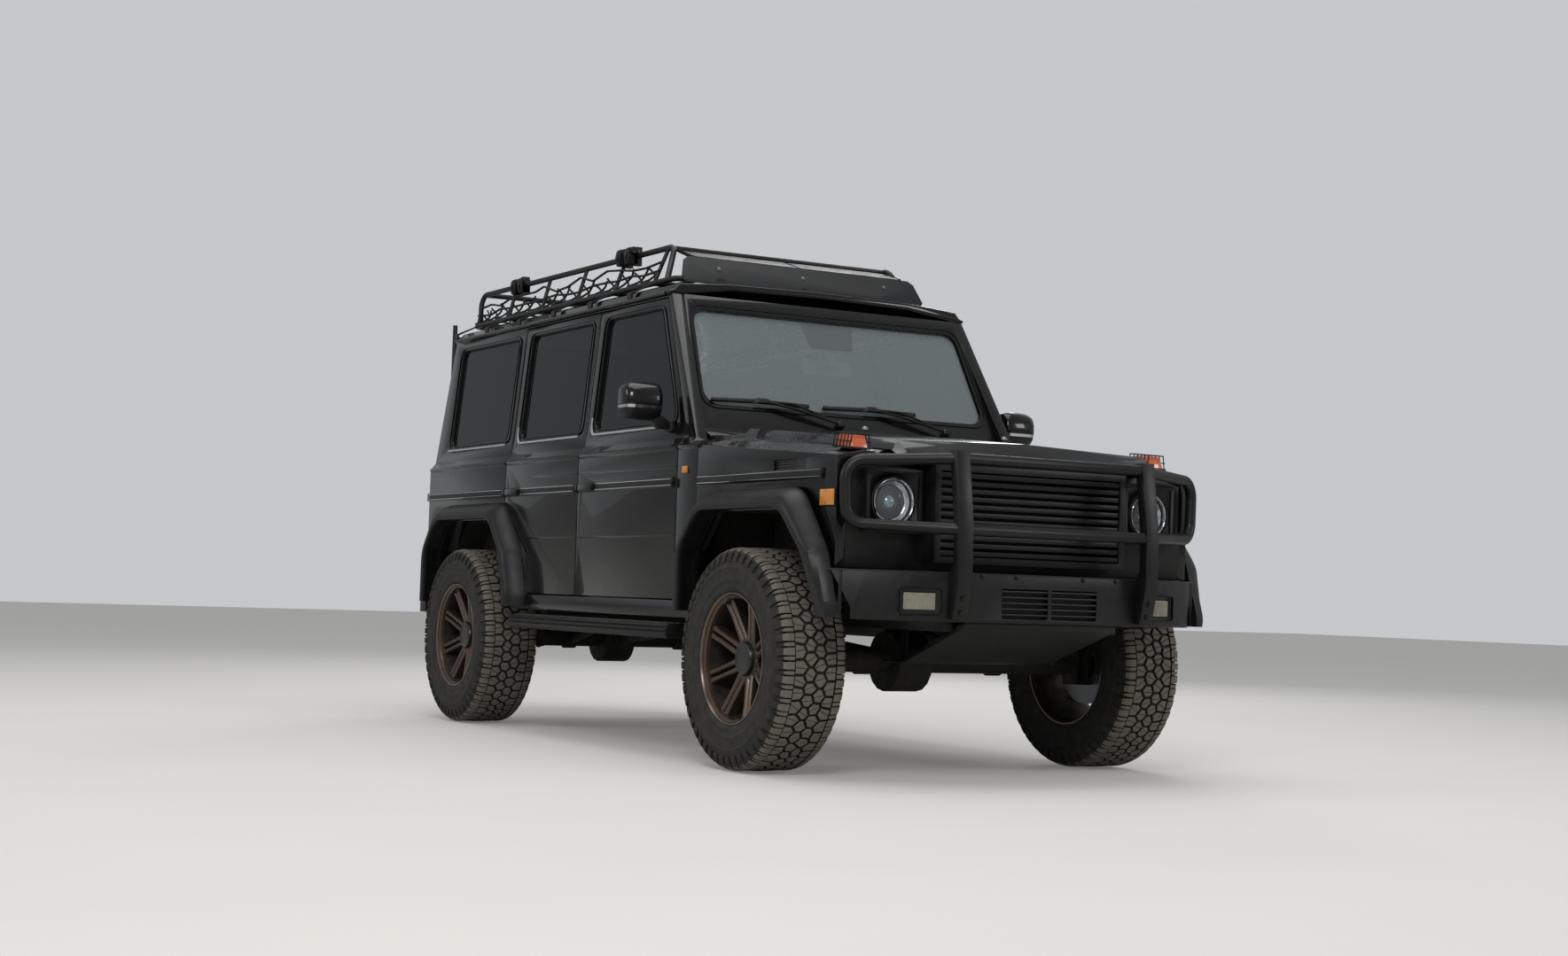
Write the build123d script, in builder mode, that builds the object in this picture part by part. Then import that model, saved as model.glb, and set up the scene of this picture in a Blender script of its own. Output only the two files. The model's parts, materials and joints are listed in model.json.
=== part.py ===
from build123d import *
import os

# Lifted off-road 4x4 estate: x forward, y to the vehicle's left, z up
# Heights are drawn from the body's datum plane, and save() lifts each piece to the ground at z = 0

# Driving dimensions in millimetres
wheelbase = 2850
ride_height = 30
front_reach = 830
rear_reach = 1047
track_half = 772
tyre_radius = 420
tyre_width = 285
tyre_sides = 22
rim_radius = 246
rim_width = 236
body_half = 815
belt_z = 1220
shoulder_half = body_half - 25
shoulder_z = 1255
gutter_half = body_half - 87
gutter_z = 1880
roof_z = 1950
sill_z = 530
floor_z = 660
flare_out = 90
flare_half = body_half + flare_out
running_gap = 6
seat_gap = 0.3

# Stations along the vehicle, worked out from the axles
overall_length = front_reach + wheelbase + rear_reach
front_x = overall_length / 2 - front_reach
rear_x = front_x - wheelbase
hub_z = tyre_radius - ride_height
nose_x = front_x + 560
cowl_x = front_x - 487
door_front_x = front_x - 670
door_split_x = front_x - 1640
door_rear_x = front_x - 2481
tail_x = rear_x - 655
tail_lean = 80
roof_front_x = front_x - 945

# Walls and doors
wall_low = 90
wall_high = 50
door_low = 60
door_high = 30
door_bottom_z = 604
door_top_z = 1862
window_low_z = 1332
window_top_z = 1822
window_corner = 42
crease_z = 859
glass_thickness = 6
seal_width = 40
door_kink_z = 1308
strip_z = 1076
strip_proud = 12
pillar_slope = 0.55
screen_slope = 0.52
tail_door_half = body_half - 125
tail_hinge_out = 12
tail_hinge_y = -tail_door_half - 8
tail_hinge_zs = (880, 1080)
hinge_pin = 6

# Wheel arches: how far the opening runs ahead of and behind the hub, and its top
arch_top_z = 950
arch_shoulder_z = 800
front_arch_ahead = 535
front_arch_behind = 470
rear_arch_ahead = 575
rear_arch_behind = 480
arch_lean = 70
arch_foot_z = 600
flare_band = 66

# Depth of the cuts through a cabin side or wing, measured at the inner side
side_cut = body_half - 215

# Chassis
rail_half = 370
rail_width = 60
rail_bottom = 520
rail_top = 640
axle_radius = 45
kingpin_half = 680
spindle_radius = 30
bearing_gap = 0.05


def save(builder, name):
    """Lift a finished piece from the datum to the ground, label it and write it."""
    piece = Pos(0, 0, ride_height) * builder.part
    piece.label = name
    export_step(piece, f"parts/{name}.step")


def side_slab(outline, y_low, y_high, mode=Mode.ADD, corner=0):
    """Extrude an outline of (x, z) points across the vehicle, with its corners rounded."""
    with BuildSketch(Plane.XZ.offset(-y_low)) as face:
        Polygon(*outline, align=None)
        if corner:
            fillet(face.vertices(), corner)
    extrude(face.sketch, amount=y_low - y_high, mode=mode)


def cross_slab(outline, x_low, x_high, mode=Mode.ADD):
    """Extrude an outline of (y, z) points along the vehicle."""
    with BuildSketch(Plane.YZ.offset(x_low)) as face:
        Polygon(*outline, align=None)
    extrude(face.sketch, amount=x_high - x_low, mode=mode)


def front_view_cut(outline, corner, mode):
    """Cut or keep what lies behind an outline of (y, z) points with rounded corners."""
    with BuildSketch(Plane.YZ) as face:
        Polygon(*outline, align=None)
        fillet(face.vertices(), corner)
    extrude(face.sketch, amount=overall_length, both=True, mode=mode)


def plan_slab(outline, z_low, z_high, mode=Mode.ADD):
    """Extrude an outline of (x, y) points upwards."""
    with BuildSketch(Plane.XY.offset(z_low)) as face:
        Polygon(*outline, align=None)
    extrude(face.sketch, amount=z_high - z_low, mode=mode)


def block(x_span, y_span, z_span, mode=Mode.ADD):
    """A box between two corners."""
    outline = [(x_span[0], y_span[0]), (x_span[1], y_span[0]), (x_span[1], y_span[1]), (x_span[0], y_span[1])]
    plan_slab(outline, z_span[0], z_span[1], mode)


def rod(start, end, radius, mode=Mode.ADD):
    """A round bar between two points."""
    run = Vector(*end) - Vector(*start)
    with BuildSketch(Plane(origin=start, z_dir=run)) as face:
        Circle(radius)
    extrude(face.sketch, amount=run.length, mode=mode)


def tube_path(points, radius, bend, close=False):
    """A round tube along straight runs joined by arcs."""
    with BuildLine() as path:
        FilletPolyline(*points, radius=bend, close=close)
    with BuildSketch(path.line ^ 0) as face:
        Circle(radius)
    sweep(face.sketch, path=path.line)


def wall_outline(side, outer, inner_low, inner_high, bottom, top):
    """Section of a cabin side, as (y, z) points, between two depths below the outer skin."""
    lean = (shoulder_half - gutter_half) / (gutter_z - shoulder_z)
    outer_top = shoulder_half - (top - shoulder_z) * lean
    points = [
        (body_half - outer, bottom),
        (body_half - outer, belt_z),
        (shoulder_half - outer, shoulder_z),
        (outer_top - outer, top),
        (outer_top - inner_high, top),
        (shoulder_half - inner_high, shoulder_z),
        (body_half - inner_low, belt_z),
        (body_half - inner_low, bottom),
    ]
    return [(side * y, z) for y, z in points]


def arch_outline(hub_x, ahead, behind, grow, bottom):
    """Wheel arch outline as (x, z) points, grown outwards by a band, with upright feet."""
    foot = [(hub_x + ahead + grow, arch_foot_z)] if bottom < arch_foot_z else []
    return [(hub_x + ahead + grow, bottom)] + foot + [
        (hub_x + ahead - arch_lean + grow, arch_shoulder_z),
        (hub_x + ahead - 3 * arch_lean + 0.4 * grow, arch_top_z + grow),
        (hub_x - behind + 2 * arch_lean - 0.4 * grow, arch_top_z + grow),
        (hub_x - behind - grow, arch_shoulder_z),
        (hub_x - behind - grow, bottom),
    ]


def wall_inner(z):
    """Half width between the cabin sides at a height above the belt."""
    low = body_half - wall_low
    high = shoulder_half - wall_high
    if z < shoulder_z:
        return low + (z - belt_z) * (high - low) / (shoulder_z - belt_z)
    return high - (z - shoulder_z) * (shoulder_half - gutter_half) / (gutter_z - shoulder_z)


def front_arch(grow=0, bottom=sill_z - 10):
    return arch_outline(front_x, front_arch_ahead, front_arch_behind, grow, bottom)


def rear_arch(grow=0, bottom=sill_z - 10):
    return arch_outline(rear_x, rear_arch_ahead, rear_arch_behind, grow, bottom)


def pillar_x(z):
    """Front edge of the front door above its kink."""
    return door_front_x - (z - door_kink_z) * pillar_slope


# Side door outlines as (x, z) points, shared by doors, apertures and windows
def front_door_outline(inset=0):
    return [
        (door_front_x - inset, door_bottom_z + inset),
        (door_front_x - inset, door_kink_z),
        (pillar_x(door_top_z - inset) - inset, door_top_z - inset),
        (door_split_x + inset, door_top_z - inset),
        (door_split_x + inset, door_bottom_z + inset),
    ]


def rear_door_outline(inset=0):
    return [
        (door_split_x - inset, door_bottom_z + inset),
        (door_split_x - inset, door_top_z - inset),
        (door_rear_x + inset, door_top_z - inset),
        (door_rear_x + inset, arch_top_z + flare_band + inset),
        (rear_x + rear_arch_ahead + flare_band + 10 + inset, door_bottom_z + 190 + inset),
        (rear_x + rear_arch_ahead + flare_band + 20 + inset, door_bottom_z + inset),
    ]


def window_outline(x_front, x_rear, slope=0):
    run = slope * (window_top_z - window_low_z)
    return [
        (x_front, window_low_z),
        (x_front - run, window_top_z),
        (x_rear, window_top_z),
        (x_rear, window_low_z),
    ]


front_window = window_outline(door_front_x - 72, door_split_x + 75, pillar_slope)
rear_window = window_outline(door_split_x - 62, door_rear_x + 75)
quarter_window = window_outline(door_rear_x - 70, tail_x + 190)
inner_front_arch = front_arch(bottom=0)
inner_rear_arch = rear_arch(bottom=0)
side_names = ((-1, "right"), (1, "left"))

os.makedirs("parts", exist_ok=True)

# Chassis rails with spring towers and body mounts, and the cross members between them
rail_front_x = front_x + 640
rail_rear_x = tail_x + 70
mount_x = (front_x - 600, front_x - 1400, rear_x + 600, tail_x + 160)
rail_inner = rail_half - rail_width / 2 - seat_gap
rail_outer = rail_half + rail_width / 2 + seat_gap
with BuildPart() as chassis_rails:
    rail_y = (rail_half - rail_width / 2, rail_half + rail_width / 2)
    block((rail_rear_x, rail_front_x), rail_y, (rail_bottom, rail_top))
    for hub_x in (front_x, rear_x):
        block((hub_x - 70, hub_x + 70), (rail_y[1], rail_half + 150), (rail_top - 20, rail_top))
    for x in mount_x:
        rod((x, rail_half, rail_top), (x, rail_half, floor_z), 30)
    mirror(about=Plane.XZ)
save(chassis_rails, "chassis_rails")

with BuildPart() as cross_members:
    for x in (rail_front_x - 60, front_x - 1780, rear_x + 420, rear_x - 330, rail_rear_x + 60):
        block((x - 40, x + 40), (-rail_inner, rail_inner), (rail_bottom + 20, rail_top - 20))
save(cross_members, "cross_members")

# Floor pan with the rear cross panel, cut round the rear wheels
floor_thickness = 18
cabin_half = body_half - wall_low
floor_front_x = cowl_x - 60
well_half = track_half - tyre_width / 2 - 40
with BuildPart() as floor_pan:
    block((tail_x + 61, floor_front_x), (-cabin_half, cabin_half), (floor_z, floor_z + floor_thickness))
    for side in (-1, 1):
        y_span = sorted((side * well_half, side * (body_half + 1)))
        side_slab(inner_rear_arch, y_span[0], y_span[1], mode=Mode.SUBTRACT)
save(floor_pan, "floor_pan")

# Wheel housings: rear boxes inside the cabin, front shelves over the tyres
housing_wall = 12
with BuildPart() as wheel_housings:
    rear_cover = [(x, max(z, floor_z + floor_thickness)) for x, z in rear_arch(housing_wall)]
    side_slab(rear_cover, well_half - housing_wall, cabin_half)
    side_slab(rear_arch(0), well_half, cabin_half, mode=Mode.SUBTRACT)
    front_wall_y = rail_half + 75
    shelf_y = body_half - 61
    shelf_x = (cowl_x + seat_gap, front_x + 420)
    block(shelf_x, (front_wall_y, front_wall_y + housing_wall), (rail_top + 60, arch_top_z + 20))
    block(shelf_x, (front_wall_y, shelf_y), (arch_top_z + 8, arch_top_z + 20))
    mirror(about=Plane.XZ)
save(wheel_housings, "wheel_housings")

# Bulkhead between the engine bay and the cabin
bulkhead_x = cowl_x - 60
bulkhead_top = 1238
with BuildPart() as bulkhead:
    block((bulkhead_x, bulkhead_x + 18), (-cabin_half, cabin_half), (floor_z, bulkhead_top))
    block((bulkhead_x + 18, cowl_x), (-cabin_half, cabin_half), (arch_top_z + 8, arch_top_z + 20))
save(bulkhead, "bulkhead")

# Zones cut from the cabin sides for the side doors, one gap wider than the doors
with BuildPart() as door_zone:
    cross_slab(wall_outline(-1, -20, door_low + 1, door_high + 1, sill_z, gutter_z), tail_x, front_x)
    with BuildSketch(Plane.XZ) as front_shape:
        Polygon(*front_door_outline(-running_gap), align=None)
    with BuildSketch(Plane.XZ) as rear_shape:
        Polygon(*rear_door_outline(-running_gap), align=None)
    extrude(front_shape.sketch + rear_shape.sketch, amount=body_half + 50, both=True, mode=Mode.INTERSECT)

# Cabin sides with sill, pillars, quarter window opening and rear corner pillar
side_outline = [
    (cowl_x, sill_z),
    (cowl_x, belt_z + 18),
    (cowl_x - 62, belt_z + 18),
    (roof_front_x, gutter_z),
    (tail_x + tail_lean, gutter_z),
    (tail_x, belt_z),
    (tail_x, sill_z),
]
with BuildPart() as body_sides:
    cross_slab(wall_outline(-1, 0, wall_low, wall_high, sill_z, gutter_z), tail_x, cowl_x)
    block((tail_x, tail_x + 60), (-cabin_half, -tail_door_half - running_gap), (sill_z, gutter_z))
    side_slab(side_outline, -body_half - 1, 0, mode=Mode.INTERSECT)
    add(door_zone.part, mode=Mode.SUBTRACT)
    side_slab(front_door_outline(seal_width), -body_half - 1, -side_cut, mode=Mode.SUBTRACT)
    side_slab(rear_door_outline(seal_width), -body_half - 1, -side_cut, mode=Mode.SUBTRACT)
    side_slab(quarter_window, -body_half - 1, -side_cut, mode=Mode.SUBTRACT, corner=window_corner)
    side_slab(inner_rear_arch, -body_half - 1, -side_cut, mode=Mode.SUBTRACT)
    block((tail_x, door_rear_x - 12), (-body_half - strip_proud, -body_half + 1), (strip_z - 20, strip_z + 20))
    mirror(about=Plane.XZ)
    hinge_x = tail_x - tail_hinge_out
    for z in tail_hinge_zs:
        for low in (z - 30, z + 15):
            block((hinge_x - 8, tail_x + 1), (tail_hinge_y - 60, tail_hinge_y - 14), (low, low + 15))
            block((hinge_x - 8, hinge_x + 8), (tail_hinge_y - 15, tail_hinge_y), (low, low + 15))
            rod((hinge_x, tail_hinge_y, low), (hinge_x, tail_hinge_y, low + 15), hinge_pin + 5)
        rod((hinge_x, tail_hinge_y, z - 30), (hinge_x, tail_hinge_y, z + 30), hinge_pin)
save(body_sides, "body_sides")

# Roof panel with gutters, rear header and crowned top
roof_rear_x = tail_x + tail_lean
roof_section = [
    (-gutter_half - 12, gutter_z + seat_gap),
    (-gutter_half - 12, gutter_z + 14),
    (-gutter_half + 12, gutter_z + 20),
    (-gutter_half + 34, gutter_z + 46),
    (-gutter_half + 280, roof_z - 6),
    (0, roof_z),
]
with BuildPart() as roof_panel:
    under_side = [(0, roof_z - 30), (-gutter_half + 290, roof_z - 36), (-gutter_half + 52, gutter_z + seat_gap)]
    right_half = roof_section + under_side
    cross_slab(right_half, roof_rear_x, roof_front_x)
    mirror(about=Plane.XZ)
    header_half = gutter_half - 60
    block((roof_rear_x, roof_rear_x + 40), (-header_half, header_half), (door_top_z - 8, gutter_z + 20))
save(roof_panel, "roof_panel")

# Windscreen frame: sloped header, pillars and cowl between the cabin sides
screen_base_z = bulkhead_top + seat_gap
screen_foot_x = front_x - 600
screen_low_z = 1404
screen_corner = 60
screen_top_z = 1818
screen_low_half = gutter_half - 38
screen_top_half = gutter_half - 73
bonnet_rear_x = cowl_x - 46
bonnet_half = body_half - 225
bonnet_hinge_x = bonnet_rear_x - 15
bonnet_hinge_y = bonnet_half - 80
bonnet_hinge_z = 1278
bonnet_pin = 5


def screen_x(z):
    """Outer face of the windscreen frame at a height."""
    return screen_foot_x - (z - screen_base_z) * screen_slope


frame_depth = 50
frame_outline = [
    (screen_x(screen_base_z), screen_base_z),
    (screen_x(gutter_z), gutter_z),
    (screen_x(gutter_z) - frame_depth, gutter_z),
    (screen_x(screen_base_z) - frame_depth, screen_base_z),
]
frame_right = [(seat_gap - wall_inner(z), z) for z in (screen_base_z, shoulder_z, gutter_z)]
frame_front_view = frame_right + [(-y, z) for y, z in reversed(frame_right)]
screen_opening = [
    (-screen_low_half, screen_low_z),
    (-screen_top_half, screen_top_z),
    (screen_top_half, screen_top_z),
    (screen_low_half, screen_low_z),
]
with BuildPart() as windscreen_frame:
    side_slab(frame_outline, -body_half, body_half)
    with BuildSketch(Plane.YZ) as front_view:
        Polygon(*frame_front_view, align=None)
    extrude(front_view.sketch, amount=overall_length, both=True, mode=Mode.INTERSECT)
    front_view_cut(screen_opening, screen_corner, Mode.SUBTRACT)
    cowl_crest_z = 1262
    cowl_panel = [
        (screen_foot_x - frame_depth, screen_base_z),
        (bonnet_rear_x - running_gap, screen_base_z),
        (bonnet_rear_x - running_gap, cowl_crest_z),
        (screen_x(cowl_crest_z + 36), cowl_crest_z + 36),
        (screen_x(cowl_crest_z + 36) - frame_depth / 2, cowl_crest_z),
    ]
    cowl_half = wall_inner(screen_base_z) - seat_gap
    side_slab(cowl_panel, -cowl_half, cowl_half)
    for side in (-1, 1):
        y_span = sorted((side * (bonnet_half + running_gap), side * cowl_half))
        block((bonnet_rear_x - 20, cowl_x), y_span, (screen_base_z, cowl_crest_z))
        lug_y = side * bonnet_hinge_y
        for y in (lug_y - 18, lug_y + 10):
            block((bonnet_hinge_x - 8, bonnet_hinge_x + 8), (y, y + 8), (cowl_crest_z - 10, bonnet_hinge_z + 8))
        pin_ends = [(bonnet_hinge_x, lug_y + reach, bonnet_hinge_z) for reach in (-11, 11)]
        rod(*pin_ends, bonnet_pin)
save(windscreen_frame, "windscreen_frame")


def shrink(outline, gap):
    """Move the points of a four-cornered window inwards."""
    middle_x = sum(x for x, z in outline) / len(outline)
    middle_z = sum(z for x, z in outline) / len(outline)
    return [(x + (gap if x < middle_x else -gap), z + (gap if z < middle_z else -gap)) for x, z in outline]


# Fixed glass: windscreen and the two quarter windows
glass_shift = 14
with BuildPart() as fixed_glass:
    pane = [(x - glass_shift, z) for x, z in frame_outline[:2]]
    pane = pane + [(x - glass_thickness, z) for x, z in reversed(pane)]
    side_slab(pane, -body_half, body_half)
    front_view_cut(shrink(screen_opening, seat_gap), screen_corner, Mode.INTERSECT)
with BuildPart() as quarter_panes:
    cross_slab(wall_outline(-1, 12, 12 + glass_thickness, 12 + glass_thickness, 1200, gutter_z), tail_x, cowl_x)
    quarter_pane = shrink(quarter_window, seat_gap)
    side_slab(quarter_pane, -body_half, -side_cut, mode=Mode.INTERSECT, corner=window_corner)
    mirror(about=Plane.XZ)
    add(fixed_glass.part)
save(quarter_panes, "fixed_glass")

# Bonnet: flanks, raised shoulders and a crowned middle, falling to the nose
bonnet_skin = 24
bonnet_front_x = front_x + 642
bonnet_sections = (
    # x, edge z, shoulder z, centre z
    (bonnet_rear_x, 1272, 1303, 1325),
    (bonnet_front_x - 60, 1168, 1205, 1222),
    (bonnet_front_x, 1146, 1158, 1164),
)


def bonnet_outline(edge_z, shoulder_level, centre_z):
    upper = [
        (-bonnet_half, edge_z),
        (-bonnet_half + 34, shoulder_level),
        (0, centre_z),
        (bonnet_half - 34, shoulder_level),
        (bonnet_half, edge_z),
    ]
    lower = [(0.97 * y, z - bonnet_skin) for y, z in reversed(upper)]
    return upper + lower


with BuildPart() as bonnet:
    faces = []
    for x, edge_z, shoulder_level, centre_z in bonnet_sections:
        with BuildSketch(Plane.YZ.offset(x)) as section:
            Polygon(*bonnet_outline(edge_z, shoulder_level, centre_z), align=None)
        faces.append(section.sketch.face())
    loft(sections=faces, ruled=True)
    for side in (-1, 1):
        lug = (side * bonnet_hinge_y - 9, side * bonnet_hinge_y + 9)
        block((bonnet_hinge_x, bonnet_rear_x + 8), lug, (bonnet_hinge_z - 8, bonnet_hinge_z + 14))
        rod((bonnet_hinge_x, lug[0], bonnet_hinge_z), (bonnet_hinge_x, lug[1], bonnet_hinge_z), bonnet_pin + 3)
        bore = ((bonnet_hinge_x, lug[0] - 1, bonnet_hinge_z), (bonnet_hinge_x, lug[1] + 1, bonnet_hinge_z))
        rod(*bore, bonnet_pin + bearing_gap, mode=Mode.SUBTRACT)
save(bonnet, "bonnet")

bumper_top = 732
bumper_bottom = 556

# Front wings: outer side, sloped top and the wheel arch
wing_sections = (
    # x, side y, bottom z, crease z, inner crest z, inner edge z
    (cowl_x + 1, body_half, sill_z, belt_z - 2, 1262, 1271),
    (nose_x, body_half - 20, sill_z, 1139, 1160, 1166),
)
wing_inner_half = bonnet_half + running_gap
with BuildPart() as front_wings:
    faces = []
    for x, side_y, bottom, crease_z, crest_z, edge_z in wing_sections:
        outline = [
            (-side_y, bottom),
            (-side_y, crease_z),
            (-side_y + 115, crest_z),
            (-wing_inner_half, edge_z),
            (-wing_inner_half, edge_z - 30),
            (-side_y + 120, crest_z - 30),
            (-side_y + 40, crease_z - 30),
            (-side_y + 40, bottom),
        ]
        with BuildSketch(Plane.YZ.offset(x)) as section:
            Polygon(*outline, align=None)
        faces.append(section.sketch.face())
    loft(sections=faces, ruled=True)
    side_slab(inner_front_arch, -body_half - 1, -side_cut, mode=Mode.SUBTRACT)
    block((front_x + 300, nose_x + 1), (-body_half - 1, -side_cut), (0, bumper_top + 4), mode=Mode.SUBTRACT)
    vent_x = (front_x + 109, front_x + 343)
    vent_face = body_half - 17
    block(vent_x, (-body_half - 1, -vent_face + 10), (1094, 1134), mode=Mode.SUBTRACT)
    for i in range(4):
        slat_z = 1097 + 10 * i
        block((vent_x[0] - 1, vent_x[1] + 1), (-vent_face + 1, -vent_face + 12), (slat_z, slat_z + 4))
    block((cowl_x + 14, front_x + 470), (-vent_face - 8, -vent_face + 10), (strip_z - 20, strip_z + 20))
    mirror(about=Plane.XZ)
save(front_wings, "front_wings")

# Front panel with headlamp pockets and the slatted grille
grille_half = bonnet_half - 160
grille_bottom = 765
grille_top = 1126
slat_count = 11
lamp_y = bonnet_half - 12
lamp_z = 981
lamp_radius = 80
panel_half = body_half - 20 - 40 - seat_gap
panel_bottom = 740
with BuildPart() as grille:
    panel = [
        (-panel_half, panel_bottom),
        (-panel_half, 1102),
        (-bonnet_half - 85, 1122),
        (-bonnet_half, grille_top),
    ]
    cross_slab(panel + [(-y, z) for y, z in reversed(panel)], nose_x - 24, nose_x)
    mouth_half = grille_half - 25
    mouth_z = (grille_bottom + 25, grille_top - 25)
    block((nose_x - 25, nose_x + 1), (-mouth_half, mouth_half), mouth_z, mode=Mode.SUBTRACT)
    for side in (-1, 1):
        lamp_bore = ((nose_x - 25, side * lamp_y, lamp_z), (nose_x + 1, side * lamp_y, lamp_z))
        rod(*lamp_bore, lamp_radius, mode=Mode.SUBTRACT)
    grille_x = nose_x + 84
    block((nose_x, grille_x), (-grille_half, grille_half), (grille_bottom, grille_top))
    block((nose_x - 1, grille_x + 1), (-mouth_half, mouth_half), mouth_z, mode=Mode.SUBTRACT)
    slat_pitch = (mouth_z[1] - mouth_z[0]) / slat_count
    for i in range(slat_count):
        slat_z = mouth_z[0] + (i + 0.5) * slat_pitch
        block((grille_x - 26, grille_x - 6), (-mouth_half - 1, mouth_half + 1), (slat_z - 8, slat_z + 8))
    for side in (-1, 1):
        pocket = (lamp_y - 118, lamp_y + 118)
        y_span = sorted((side * pocket[0], side * pocket[1]))
        block((nose_x, nose_x + 44), y_span, (lamp_z - 112, lamp_z + 118))
        recess_y = (y_span[0] + 14, y_span[1] - 14)
        block((nose_x - 1, nose_x + 45), recess_y, (lamp_z - 98, lamp_z + 104), mode=Mode.SUBTRACT)
        with BuildSketch(Plane(origin=(nose_x - 1, side * lamp_y, lamp_z), z_dir=(1, 0, 0))) as bezel:
            Circle(lamp_radius + 10)
            Circle(lamp_radius, mode=Mode.SUBTRACT)
        extrude(bezel.sketch, amount=34)
save(grille, "grille")

# Headlamps and fog lamps: bodies, then their lenses
fog_x = front_x + 706
fog_y = body_half - 276
fog_z = 627
with BuildPart() as lamp_units:
    for side in (-1, 1):
        centre = Plane(origin=(nose_x - 46, side * lamp_y, lamp_z), z_dir=(1, 0, 0))
        with BuildSketch(centre) as back:
            Circle(lamp_radius - seat_gap)
        extrude(back.sketch, amount=92)
        with BuildSketch(centre.offset(30)) as bowl:
            Circle(lamp_radius - 10)
        extrude(bowl.sketch, amount=63, mode=Mode.SUBTRACT)
        with BuildSketch(centre.offset(29)) as projector:
            Circle(34)
        extrude(projector.sketch, amount=46)
        fog_body = sorted((side * (fog_y - 50), side * (fog_y + 50)))
        block((fog_x - 24 + seat_gap, fog_x - 2), fog_body, (fog_z - 28, fog_z + 28))
save(lamp_units, "lamp_units")

with BuildPart() as lamp_lenses:
    for side in (-1, 1):
        with BuildSketch(Plane(origin=(nose_x + 36, side * lamp_y, lamp_z), z_dir=(1, 0, 0))) as pane_face:
            Circle(lamp_radius - 10 - seat_gap)
        extrude(pane_face.sketch, amount=8)
        fog_pane = sorted((side * (fog_y - 46), side * (fog_y + 46)))
        block((fog_x - 2 + seat_gap, fog_x + 5), fog_pane, (fog_z - 24, fog_z + 24))
save(lamp_lenses, "lamp_lenses")


def wing_top(x, y):
    """Height of the wing between its crest and its inner edge."""
    rear, front = wing_sections
    share = (x - rear[0]) / (front[0] - rear[0])
    side_y, crest_z, edge_z = (rear[i] + share * (front[i] - rear[i]) for i in (1, 4, 5))
    crest_y = side_y - 115
    return crest_z + (edge_z - crest_z) * (crest_y - y) / (crest_y - wing_inner_half)


# Amber lamps: wing tops, wing sides and the repeaters ahead of the doors
with BuildPart() as signal_lamps:
    lamp_x = (front_x + 405, front_x + 515)
    lamp_inner = bonnet_half + 46
    lamp_seat = [wing_top(x, lamp_inner) + seat_gap for x in lamp_x]
    top_lamp = [
        (lamp_x[0], lamp_seat[0]),
        (lamp_x[1], lamp_seat[1]),
        (lamp_x[1] - 8, lamp_seat[1] + 36),
        (lamp_x[0] + 4, lamp_seat[0] + 40),
    ]
    side_slab(top_lamp, -lamp_inner - 80, -lamp_inner)
    marker_y = body_half - 20 * (front_x + 498 - cowl_x) / (nose_x - cowl_x) + seat_gap
    block((front_x + 498, front_x + 554), (-marker_y - 12, -marker_y), (958, 1018))
    block((front_x - 612, front_x - 570), (-body_half - 12, -body_half - seat_gap), (1108, 1138))
    mirror(about=Plane.XZ)
save(signal_lamps, "signal_lamps")

# Front bumper with swept corners, fog lamp pockets and a louvred middle
bumper_x = front_x + 765
bumper_half = body_half + 27
bumper_outer = [
    (front_x + 440, -bumper_half),
    (front_x + 560, -bumper_half),
    (front_x + 655, -bumper_half + 122),
    (front_x + 722, -bumper_half + 282),
    (bumper_x, -bumper_half + 422),
    (bumper_x, 0),
]
bumper_inner = [
    (front_x + 690, 0),
    (front_x + 690, -bumper_half + 442),
    (front_x + 650, -bumper_half + 302),
    (front_x + 600, -bumper_half + 152),
    (front_x + 530, -bumper_half + 52),
    (front_x + 440, -bumper_half + 52),
]
with BuildPart() as front_bumper:
    plan_slab(bumper_outer + bumper_inner, bumper_bottom, bumper_top)
    side_slab(front_arch(flare_band + 14 + running_gap, 0), -bumper_half - 100, -side_cut, mode=Mode.SUBTRACT)
    block((fog_x - 24, bumper_x + 1), (-fog_y - 56, -fog_y + 56), (fog_z - 34, fog_z + 34), mode=Mode.SUBTRACT)
    block((bumper_x - 30, bumper_x + 1), (-212, -8), (572, 680), mode=Mode.SUBTRACT)
    for i in range(5):
        louvre_z = 583 + i * 21
        block((bumper_x - 31, bumper_x - 4), (-213, -7), (louvre_z, louvre_z + 8))
    mirror(about=Plane.XZ)
    for side in (-1, 1):
        bracket = sorted((side * (rail_half - 25), side * (rail_half + 25)))
        block((rail_front_x, front_x + 700), bracket, (rail_bottom + 45, rail_top - 10))
save(front_bumper, "front_bumper")

# Skid plate under the nose
with BuildPart() as skid_plate:
    skid = [
        (front_x + 720, bumper_bottom - seat_gap),
        (front_x + 690, bumper_bottom - seat_gap),
        (front_x + 300, 402),
        (front_x + 170, 402),
        (front_x + 170, 392),
        (front_x + 305, 392),
        (front_x + 715, bumper_bottom - 22),
    ]
    side_slab(skid, -rail_inner, rail_inner)
    block((front_x + 290, front_x + 340), (-rail_inner, -rail_inner + 12), (396, rail_bottom + 40))
    block((front_x + 290, front_x + 340), (rail_inner - 12, rail_inner), (396, rail_bottom + 40))
save(skid_plate, "skid_plate")

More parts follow.
